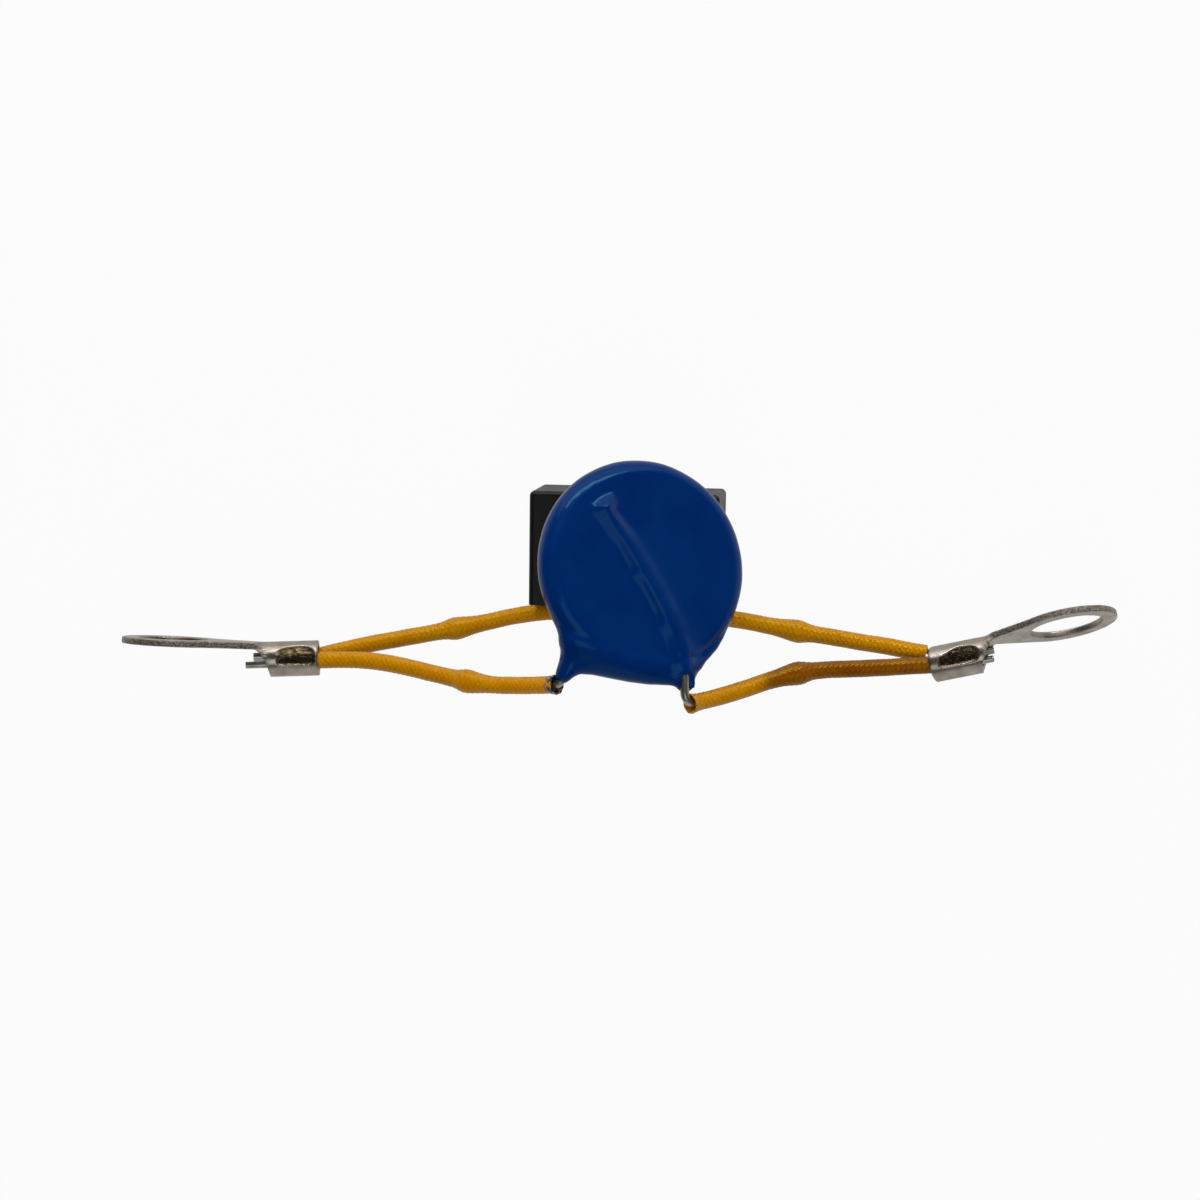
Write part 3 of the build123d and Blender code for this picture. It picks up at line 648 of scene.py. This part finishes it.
def lead_ridge(points, settings, line):
    """How high the coat stands over a lead on the disc's face, steep on its left and gentle on its right.

    The left flank steepens below the ridge's upper end, slackens at one place halfway down
    and again towards the web. The right one spreads out as it goes down.
    """
    run = line[-1, :2] - line[0, :2]
    run = run / np.linalg.norm(run)
    down = (points[:, :2] - line[0, :2]) @ run
    centre = np.interp(points[:, 1], line[::-1, 1], line[::-1, 0])
    side = (points[:, 0] - centre) * abs(run[1])
    spread = 0.45 + 0.55 * eased(down, 0.5 * MM, 6.0 * MM)
    steep = eased(down, 2.3 * MM, 4.5 * MM) - eased(down, 12.5 * MM, 15.0 * MM)
    steep = steep - 0.6 * hump(down - 8.2 * MM, 0.7 * MM)
    width = np.where(side < 0.0, settings.steep_side * (1.6 - 0.6 * steep), settings.gentle_side * spread)
    reach = np.hypot(side / width, np.minimum(down, 0.0) / (0.85 * MM))
    swell = 1.0 + 0.25 * hump(down, 1.0 * MM)
    return settings.ridge_height * swell * hump(reach, 1.0)


def coating_depth(points, settings, lines):
    """How far points in the disc's frame lie outside the coat."""
    radius = np.hypot(points[:, 0], points[:, 1])
    front, rear = (lead_ridge(points, settings, line) for line in lines)
    face = settings.half_thickness - 0.10 * MM * (radius / settings.radius) ** 2
    face = face + np.where(points[:, 2] > 0.0, front, rear)
    depth = rounded_plate(radius - settings.radius, np.abs(points[:, 2]) - face, settings.face_edge)
    levels = np.array(WEB_DEPTHS) * MM
    half = np.interp(points[:, 1], levels, np.array(WEB_HALVES) * MM)
    lean = np.radians(np.interp(points[:, 1], levels, WEB_LEANS))
    above = points[:, 2] * np.cos(lean) - points[:, 0] * np.sin(lean)
    outline = np.array(WEB_OUTLINE) * MM
    web = rounded_plate(outline_depth(points[:, :2], outline), np.abs(above) - half, 0.9 * half)
    # The web runs into the rim with a wide fillet low down and with none where it leaves it
    low_down = eased(radius, 8.5 * MM, 12.0 * MM) * eased(-points[:, 1], 8.2 * MM, 10.6 * MM)
    depth = flowing_union(depth, web, 0.1 * MM + 2.4 * MM * low_down)
    for line in lines:
        leg = settings.leg_radius * eased(np.hypot(line[:, 0], line[:, 1]), 7.0 * MM, 11.5 * MM)
        depth = flowing_union(depth, line_depth(points, line, leg), 1.2 * MM)
    chip = CHIP_RADIUS - np.linalg.norm(points - CHIP_CENTRE, axis=1)
    return np.maximum(depth, chip)


def draw_to_coat(points, settings, lines):
    """Moves points onto the coat's surface, a few short steps down its slope."""
    reach = 0.02 * MM
    for _ in range(4):
        depth = coating_depth(points, settings, lines)
        slope = np.empty_like(points)
        for axis in range(3):
            shifted = points.copy()
            shifted[:, axis] += reach
            slope[:, axis] = (coating_depth(shifted, settings, lines) - depth) / reach
        steepness = np.maximum((slope ** 2).sum(1), 0.25)
        points = points - slope * (depth / steepness)[:, None]
    return points


class SUPPRESSOR_OT_dip_varistor(bpy.types.Operator):
    """Draw the blue epoxy coat over the disc, the web and the leads"""

    bl_idname = "suppressor.dip_varistor"
    bl_label = "Dip Varistor"

    def execute(self, context):
        settings = context.scene.suppressor_coating
        mesh = evaluated_mesh(coating_blank(settings), [
            ("REMESH", {"mode": "VOXEL", "voxel_size": settings.voxel}),
            ("SMOOTH", {"factor": 0.5, "iterations": 6}),
        ])
        lines = [smooth_line([Vector(point) * MM for point in lead]) for lead in (FRONT_LEAD, REAR_LEAD)]
        points = draw_to_coat(read_points(mesh), settings, lines)
        write_points(mesh, points)
        waves = 0.035 * unevenness(points, 3.2 * MM, 1) + 0.012 * unevenness(points, 1.1 * MM, 2) - 0.04
        write_points(mesh, points + read_normals(mesh) * (waves * MM)[:, None])
        mesh.transform(DISC_FRAME)
        finish_piece("varistor_coat", mesh, blue_epoxy(settings.colour), "blue_epoxy", "varistor_coating")
        return {"FINISHED"}


# ---------------------------------------------------------------- the woven sleeves
def sprung(points):
    """Lifts the far end of the capacitor's right lead, and of its sleeve, clear of the barrel's rim."""
    rise = np.clip((points[:, 0] - 26.0 * MM) / (8.5 * MM), 0.0, 1.0) ** 2
    back_in_line = eased(points[:, 0], 34.7 * MM, 35.7 * MM)
    lift = 1.43 * MM * rise * (1.0 - back_in_line)
    return points + lift[:, None] * np.array((0.0, 1.0, 0.0))


def places_along(line, rows):
    """Even places on a line: distance, point and two cross directions that don't twist."""
    steps = np.linalg.norm(np.diff(line, axis=0), axis=1)
    reached = np.concatenate(([0.0], np.cumsum(steps)))
    distance = np.linspace(0.0, reached[-1], rows)
    points = np.stack([np.interp(distance, reached, line[:, axis]) for axis in range(3)], axis=1)
    heading = np.gradient(points, axis=0)
    heading /= np.linalg.norm(heading, axis=1)[:, None]
    side = np.cross(heading, (0.0, 0.0, 1.0))
    side /= np.linalg.norm(side, axis=1)[:, None]
    return distance, points, side, np.cross(side, heading)


def yarn_crowns(turn, travel, yarns, pick):
    """Height of two sets of yarns that cross over and under each other, 0 in a gap to 1 on a crown."""
    rising = yarns * turn + travel / pick
    falling = yarns * turn - travel / pick
    rising_on_top = (np.floor(rising) + np.floor(falling)) % 2 == 0
    rising, falling = rising % 1.0, falling % 1.0
    across = np.where(rising_on_top, rising, falling)
    along = np.where(rising_on_top, falling, rising)
    section = np.sqrt(np.maximum(1.0 - (2.0 * across - 1.0) ** 2, 0.0))
    return section * (0.35 + 0.65 * np.sin(np.pi * along))


def sleeve_controls(name):
    """The sleeve's route from its open mouth to the barrel."""
    corner = SLEEVE_CORNERS[name]
    free = [Vector(point) * MM for point in SLEEVE_ROUTES[name]]
    terminal, mouth, _ = SLEEVE_ENDS[name]
    bare = 0.7 * MM if "varistor" in name else 0.9 * MM
    start = corner + (free[0] - corner).normalized() * bare
    return [start, *free, TERMINALS[terminal] @ (Vector(mouth) * MM)]


def pressed_apart(points, name):
    """Flattens a sleeve's end against its neighbour's, up to the barrel's mouth."""
    route, other = sleeve_controls(name), sleeve_controls(SLEEVE_ENDS[name][2])
    run = ((route[-1] - route[-2]).normalized() + (other[-1] - other[-2]).normalized()).normalized()
    across = other[-1] - route[-1]
    across = (across - run * across.dot(run)).normalized()
    middle = (route[-1] + other[-1]) / 2
    away = points - np.array(middle)
    beyond = away @ np.array(across) + 0.03 * MM
    grip = np.clip((away @ np.array(run) + 4.5 * MM) / (1.5 * MM), 0.0, 1.0)
    pushed = np.maximum(beyond, 0.0) * grip
    return points - pushed[:, None] * np.array(across)


def woven_sleeve(name, settings, seed):
    """A tube of crossing yarns round its route, wrapped from a flat grid."""
    line = smooth_line(sleeve_controls(name))
    if name == SPRUNG_SLEEVE:
        line = sprung(line)
    length = np.linalg.norm(np.diff(line, axis=0), axis=1).sum()
    around, rows = 10 * settings.yarns, int(length / SLEEVE_ROW)
    bm = bmesh.new()
    bmesh.ops.create_grid(bm, x_segments=around, y_segments=rows, size=0.5, calc_uvs=True)
    uv = bm.loops.layers.uv.verify()
    girth = 2 * math.pi * settings.radius
    for face in bm.faces:
        for loop in face.loops:
            loop[uv].uv = (loop.vert.co.x + 0.5, (loop.vert.co.y + 0.5) * length / girth)
    mesh = mesh_from(bm, name + "_weave")
    flat = read_points(mesh)
    turn, share = flat[:, 0] + 0.5, flat[:, 1] + 0.5
    row = np.rint(share * rows).astype(int)
    distance, centres, side, lift = places_along(line, rows + 1)
    travel = distance[row]
    crown = yarn_crowns(turn % 1.0, travel, settings.yarns, settings.pick)
    free = SLEEVE_ROUTES[name]
    swell = (Vector(free[1]) + Vector(free[2])) / 2 * MM
    swollen_at = distance[np.argmin(np.linalg.norm(centres - np.array(swell), axis=1))]
    offset = (travel - swollen_at) / (1.5 * MM)
    bulge = settings.bulge * hump(np.where(offset > 0.0, offset * 1.25, offset * 0.8), 1.0)
    mouth = 0.16 * MM * hump(travel, 0.7 * MM)
    angle = 2 * math.pi * turn
    lumps = 0.03 * MM * unevenness(centres[row] + side[row] * np.cos(angle)[:, None] * MM, 1.5 * MM, seed)
    radius = settings.radius + bulge + mouth + lumps + settings.relief * (crown - 0.5)
    points = centres[row] + (
        side[row] * (np.cos(angle) * radius)[:, None] + lift[row] * (np.sin(angle) * radius)[:, None]
    )
    if name != SPRUNG_SLEEVE:
        points = pressed_apart(points, name)
    write_points(mesh, points)
    write_attribute(mesh, "crown", crown)
    least, most = (0.2, 0.97) if name == SCORCHED_SLEEVE else (0.0, 0.1)
    browned = eased(travel / length + 0.03 * np.sin(angle), 0.30, 0.40)
    write_attribute(mesh, "browned", least + (most - least) * browned)
    write_attribute(mesh, "stuck", eased(-travel, -1.5 * MM, -0.4 * MM) * (name == STUCK_SLEEVE))
    bm = bmesh.new()
    bm.from_mesh(mesh)
    bmesh.ops.remove_doubles(bm, verts=bm.verts, dist=MERGE_GAP)
    turn_mouths_in(bm, centres, settings)
    bmesh.ops.recalc_face_normals(bm, faces=bm.faces)
    bm.to_mesh(mesh)
    bm.free()
    return mesh


def turn_mouths_in(bm, centres, settings):
    """Gives each open end its wall and the dark bore behind it."""
    rims = [edge for edge in bm.edges if edge.is_boundary]
    first, last = Vector(centres[0]), Vector(centres[-1])
    starts = {edge for edge in rims if (edge.verts[0].co - first).length < 2 * settings.radius}
    for centre, further_in, loop in (
        (first, Vector(centres[30]), [edge for edge in rims if edge in starts]),
        (last, Vector(centres[-31]), [edge for edge in rims if edge not in starts]),
    ):
        inward = (further_in - centre).normalized()
        for scale, depth in ((0.80, 0.06), (0.92, 0.8)):
            grown = bmesh.ops.extrude_edge_only(bm, edges=loop)["geom"]
            verts = [part for part in grown if isinstance(part, bmesh.types.BMVert)]
            loop = [part for part in grown if isinstance(part, bmesh.types.BMEdge)]
            for vert in verts:
                away = vert.co - centre
                level = away.dot(inward)
                vert.co = centre + (away - inward * level) * scale
                vert.co += inward * (level + depth * (further_in - centre).length)
        bmesh.ops.contextual_create(bm, geom=loop)


class SUPPRESSOR_OT_weave_sleeves(bpy.types.Operator):
    """Weave a varnished yarn sleeve over each of the four leads"""

    bl_idname = "suppressor.weave_sleeves"
    bl_label = "Weave Sleeves"

    def execute(self, context):
        settings = context.scene.suppressor_sleeves
        material = braid_yellow(settings.colour)
        for seed, name in enumerate(SLEEVE_ROUTES):
            finish_piece(name + "_weave", woven_sleeve(name, settings, seed), material, "yellow_braid", name)
        return {"FINISHED"}


# ---------------------------------------------------------------- the ring terminals
def pressed_dent(points, dent):
    """Shape of the crimp's dent on the barrel: how deep it is at each point, as a share."""
    (start, end), (hard, soft), waver = dent
    along = (2.0 * points[:, 0] / MM - start - end) / (end - start)
    around = np.arctan2(points[:, 1], points[:, 2]) * BARREL_RADIUS / MM
    retreat = 0.20 * along ** 2 + waver * (0.5 - 0.5 * np.tanh(3.5 * (along + 0.3)))
    across = ((around - soft) / (hard - soft) - retreat) / (1.0 - retreat)
    reach = (np.abs(along) ** 6 + np.abs(2.0 * across - 1.0) ** 5) ** 0.2
    return (1.0 - eased(reach, 0.72, 1.08)) * (0.6 + 0.4 * eased(across, 0.35 - waver, 0.75 - waver))


def formed_terminal(name, settings):
    """A copy of a terminal as pressed: edges soft, neck rounded, barrel dented, ring turned a little."""
    mesh = softened_copy(name, "_plated", settings.voxel, settings.rounds)
    place = np.array(TERMINALS[name])
    local = np.linalg.inv(place)
    points = read_points(mesh) @ local[:3, :3].T + local[:3, 3]
    normals = read_normals(mesh) @ local[:3, :3].T
    radius = np.hypot(points[:, 1], points[:, 2])
    outward = (normals[:, 1] * points[:, 1] + normals[:, 2] * points[:, 2]) / radius
    outer = (outward > 0.15) & (radius > 1.32 * MM) & (points[:, 0] < 6.9 * MM)
    # The mouth's edge is rounded in and swells a little behind
    full = BARREL_RADIUS - 0.16 * MM * (1.0 - eased(points[:, 0], 0.0, 0.25 * MM))
    full = full + 0.10 * MM * hump(points[:, 0] - 0.3 * MM, 0.5 * MM)
    dent = pressed_dent(points, DENTS[name])
    lip = (1.0 - eased(points[:, 0], 0.0, 0.9 * MM)) * (points @ LIPS[name]).clip(0.0) / BARREL_RADIUS
    points[:, 0] -= 0.5 * MM * lip ** 1.5
    far_corner = eased(points[:, 0], 4.0 * MM, 5.7 * MM) * eased(-points[:, 2], 0.2 * MM, 1.6 * MM)
    points[:, 0] -= WORN_CORNERS[name] * far_corner
    on_barrel = outer * (1.0 - eased(points[:, 0], 5.6 * MM, 6.9 * MM))
    formed = radius + (full - settings.dent_depth * dent - radius) * on_barrel
    neck = BARREL_RADIUS + 3.0 * MM * np.clip((points[:, 0] / MM - 6.2) / 2.6, 0.0, None) ** 2
    points[:, 1:] *= (np.minimum(formed, neck) / radius)[:, None]
    if name == "ring_terminal_left":
        twist = settings.ring_twist * eased(points[:, 0], 6.5 * MM, 10.0 * MM)
        level = points[:, 2] - SHEET_HEIGHT
        points[:, 2] = SHEET_HEIGHT + level * np.cos(twist) + points[:, 1] * np.sin(twist)
        points[:, 1] = points[:, 1] * np.cos(twist) - level * np.sin(twist)
    # The sheet's sheared edges show torn grain, less of it in the hole
    facing = np.abs(normals[:, 2])
    past_barrel = eased(points[:, 0], 5.4 * MM, 6.6 * MM)
    hole = np.hypot(points[:, 0] - RING_DISTANCES[name] * MM, points[:, 1]) < 4.5 * MM
    write_attribute(
        mesh, "torn", np.clip((0.75 - facing) / 0.35, 0.0, 1.0) * past_barrel * (1.0 - 0.75 * hole),
    )
    # The dent's depth share also places the painted shade and painted reflections in the dent's colour
    write_attribute(mesh, "dent", dent * outer)
    write_points(mesh, points @ place[:3, :3].T + place[:3, 3])
    return mesh


class SUPPRESSOR_OT_plate_terminals(bpy.types.Operator):
    """Soften the stamped edges of both ring terminals and plate them with tin"""

    bl_idname = "suppressor.plate_terminals"
    bl_label = "Plate Terminals"

    def execute(self, context):
        settings = context.scene.suppressor_terminals
        material = tin_plate(settings.colour)
        for name in TERMINALS:
            finish_piece(name + "_plated", formed_terminal(name, settings), material, "tin_plate", name)
        return {"FINISHED"}


# ---------------------------------------------------------------- solids shown as they are
class SUPPRESSOR_OT_finish_leads(bpy.types.Operator):
    """Tin the copper leads, and bend the one whose sleeve springs up"""

    bl_idname = "suppressor.finish_leads"
    bl_label = "Finish Leads"

    def execute(self, context):
        tinned = plain_metal("tinned_copper", (0.58, 0.55, 0.50), 0.25, 0.2 * MM)
        cover_nodes(tinned, "varistor_lead_left", "varistor_lead_right", "capacitor_lead_left")
        bent = softened_copy(SPRUNG_LEAD, "_sprung", 0.09 * MM, 2)
        write_points(bent, sprung(read_points(bent)))
        finish_piece(SPRUNG_LEAD + "_sprung", bent, tinned, "tinned_copper", SPRUNG_LEAD)
        return {"FINISHED"}


class SUPPRESSOR_OT_finish_capacitor(bpy.types.Operator):
    """Mould the capacitor's case and fill it with resin"""

    bl_idname = "suppressor.finish_capacitor"
    bl_label = "Finish Capacitor"

    def execute(self, context):
        dull_black, worn_black = (0.003, 0.003, 0.0035), (0.005, 0.005, 0.006)
        case = plain_solid("black_case", dull_black, worn_black, 0.34, 0.12 * MM, 0.006 * MM, 1.38)
        cover_nodes(case, "capacitor_case")
        resin = plain_solid(
            "potting_epoxy", (0.008, 0.008, 0.008), (0.014, 0.013, 0.012), 0.22, 0.5 * MM, 0.02 * MM,
        )
        cover_nodes(resin, "capacitor_potting")
        cover_nodes(plain_metal("metallised_film", (0.70, 0.71, 0.72), 0.2, 0.1 * MM), "capacitor_winding")
        zinc = plain_metal("zinc_spray", (0.42, 0.42, 0.41), 0.6, 0.1 * MM)
        cover_nodes(zinc, "capacitor_contact_left", "capacitor_contact_right")
        return {"FINISHED"}


class SUPPRESSOR_OT_finish_varistor_core(bpy.types.Operator):
    """Fire the ceramic disc and its silver, and solder the leads to them"""

    bl_idname = "suppressor.finish_varistor_core"
    bl_label = "Finish Varistor Core"

    def execute(self, context):
        ceramic = plain_solid(
            "zinc_oxide_ceramic", (0.09, 0.10, 0.09), (0.06, 0.07, 0.06), 0.6, 0.1 * MM, 0.01 * MM,
        )
        cover_nodes(ceramic, "ceramic_disc")
        silver = plain_metal("fired_silver", (0.85, 0.83, 0.78), 0.35, 0.1 * MM)
        cover_nodes(silver, "front_electrode", "rear_electrode")
        cover_nodes(plain_metal("solder", (0.62, 0.62, 0.60), 0.25, 0.3 * MM), "front_solder", "rear_solder")
        return {"FINISHED"}


# ---------------------------------------------------------------- the stage
# Where the light that isn't mirrored comes from, and its share of the power
BOUNCES = (
    ((-0.1, 0.75, 0.65), 0.75), ((0.9, 0.3, 0.35), 0.45), ((0.1, -0.45, 0.9), 0.45), ((-0.9, 0.4, 0.3), 0.4),
)
CAMERA_PLACE = (0.035579, 0.033020, 0.298877)
CAMERA_TURN = (-7.479, 7.605, 0.686)    # degrees


def soft_lamp(name, direction, distance, size, power):
    """A rectangular lamp that faces the middle of the object."""
    low, high = MODEL_BOX
    middle = (low + high) / 2
    data = bpy.data.lights.new(name, "AREA")
    data.shape = "RECTANGLE"
    data.size, data.size_y = size
    data.energy = power
    lamp = bpy.data.objects.new(name, data)
    lamp.location = middle + Vector(direction).normalized() * distance
    lamp.rotation_euler = (middle - lamp.location).to_track_quat("-Z", "Y").to_euler()
    bpy.context.scene.collection.objects.link(lamp)
    return lamp


def pale_floor():
    """Matt white that shows the shadow, brightened where it is seen or mirrored."""
    finish = Finish("pale_floor")
    rays = finish.add("ShaderNodeLightPath").outputs
    seen = finish.figure("MULTIPLY", rays["Is Camera Ray"], 0.94)
    either = finish.figure("MAXIMUM", rays["Is Glossy Ray"], rays["Is Transmission Ray"])
    mirrored = finish.figure("MULTIPLY", either, 0.2)
    matt = finish.add("ShaderNodeBsdfDiffuse", [("Color", (0.65, 0.65, 0.65, 1.0))])
    lit = finish.add("ShaderNodeEmission")
    finish.show(finish.figure("MAXIMUM", seen, mirrored), matt, lit, "Material Output")
    finish.tree.nodes.remove(finish.shader)
    return finish.material


def studio_world():
    """A light tent: pale walls low down, a dim ceiling, and white wherever it is seen."""
    world = bpy.data.worlds.new("light_tent")
    bench = NodeBench(world)
    spot = bench.add("ShaderNodeTexCoord").outputs["Generated"]
    height = bench.add("ShaderNodeSeparateXYZ", [("Vector", spot)]).outputs["Z"]
    ramp = bench.add("ShaderNodeValToRGB", [("Fac", height)])
    ramp.color_ramp.elements.new(0.12)
    for element, (place, level) in zip(ramp.color_ramp.elements, ((0.0, 0.35), (0.12, 0.13), (0.45, 0.05))):
        element.position = place
        element.color = opaque((level, level, level))
    tent = bench.tree.nodes["Background"]
    bench.set(tent.inputs["Color"], ramp.outputs["Color"])
    white = bench.add("ShaderNodeBackground", [("Color", (0.94, 0.94, 0.94, 1.0))])
    seen = bench.add("ShaderNodeLightPath").outputs["Is Camera Ray"]
    bench.show(seen, tent, white, "World Output")
    bpy.context.scene.world = world


class SUPPRESSOR_OT_set_stage(bpy.types.Operator):
    """Lay the floor, hang the lamps and stand the camera over the object"""

    bl_idname = "suppressor.set_stage"
    bl_label = "Set Stage"

    def execute(self, context):
        settings = context.scene.suppressor_stage
        bm = bmesh.new()
        bmesh.ops.create_grid(bm, x_segments=1, y_segments=1, size=4.0)
        bmesh.ops.translate(bm, verts=bm.verts, vec=(0.0, 0.0, MODEL_BOX[0].z - 0.02 * MM))
        floor = bpy.data.objects.new("floor", mesh_from(bm, "floor"))
        floor.data.materials.append(pale_floor())
        context.scene.collection.objects.link(floor)
        key, fill, bounce = settings.key_power, settings.fill_power, settings.bounce_power
        soft_lamp("window_lamp", (0.20, 0.87, 0.47), 0.55, (0.45, 0.08), key)
        soft_lamp("overhead_lamp", (0.10, -0.15, 0.98), 0.60, (0.40, 0.30), fill)
        soft_lamp("back_wall", (0.0, 1.0, 0.22), 0.60, (0.90, 0.30), 3.0 * fill)
        soft_lamp("front_wall", (0.0, -0.92, 0.38), 0.60, (0.70, 0.45), 1.3 * fill)
        for direction, share in BOUNCES:
            soft_lamp("bounce_lamp", direction, 0.60, (0.35, 0.35), share * bounce).visible_glossy = False
        studio_world()
        data = bpy.data.cameras.new("camera")
        data.lens = settings.focal_length
        data.sensor_width = 36.0
        camera = bpy.data.objects.new("camera", data)
        camera.location = CAMERA_PLACE
        camera.rotation_euler = Euler([math.radians(angle) for angle in CAMERA_TURN])
        context.scene.collection.objects.link(camera)
        context.scene.camera = camera
        context.scene.view_settings.view_transform = "Standard"
        return {"FINISHED"}


# ---------------------------------------------------------------- the sidebar
class SUPPRESSOR_PT_finisher(bpy.types.Panel):
    """Buttons for each piece of the suppressor, with its sizes and colours"""

    bl_idname = "SUPPRESSOR_PT_finisher"
    bl_label = "Suppressor Finisher"
    bl_space_type = "VIEW_3D"
    bl_region_type = "UI"
    bl_category = "Suppressor"

    def draw(self, context):
        scene = context.scene
        for settings, operator in (
            (scene.suppressor_coating, "suppressor.dip_varistor"),
            (scene.suppressor_sleeves, "suppressor.weave_sleeves"),
            (scene.suppressor_terminals, "suppressor.plate_terminals"),
            (scene.suppressor_stage, "suppressor.set_stage"),
        ):
            box = self.layout.box()
            for key in settings.__annotations__:
                box.prop(settings, key)
            box.operator(operator)
        for operator in (
            "suppressor.finish_leads", "suppressor.finish_capacitor", "suppressor.finish_varistor_core",
        ):
            self.layout.operator(operator)


CLASSES = (
    CoatingSettings, SleeveSettings, TerminalSettings, StageSettings,
    SUPPRESSOR_OT_dip_varistor, SUPPRESSOR_OT_weave_sleeves, SUPPRESSOR_OT_plate_terminals,
    SUPPRESSOR_OT_finish_leads, SUPPRESSOR_OT_finish_capacitor, SUPPRESSOR_OT_finish_varistor_core,
    SUPPRESSOR_OT_set_stage, SUPPRESSOR_PT_finisher,
)
SETTINGS = {
    "suppressor_coating": CoatingSettings, "suppressor_sleeves": SleeveSettings,
    "suppressor_terminals": TerminalSettings, "suppressor_stage": StageSettings,
}


def register():
    for cls in CLASSES:
        bpy.utils.register_class(cls)
    for name, group in SETTINGS.items():
        setattr(bpy.types.Scene, name, bpy.props.PointerProperty(type=group))


def unregister():
    for name in SETTINGS:
        delattr(bpy.types.Scene, name)
    for cls in reversed(CLASSES):
        bpy.utils.unregister_class(cls)


def main():
    """Finishes the whole object."""
    register()
    bpy.ops.suppressor.dip_varistor()
    bpy.ops.suppressor.weave_sleeves()
    bpy.ops.suppressor.plate_terminals()
    bpy.ops.suppressor.finish_leads()
    bpy.ops.suppressor.finish_capacitor()
    bpy.ops.suppressor.finish_varistor_core()
    bpy.ops.suppressor.set_stage()


if __name__ == "__main__":
    main()
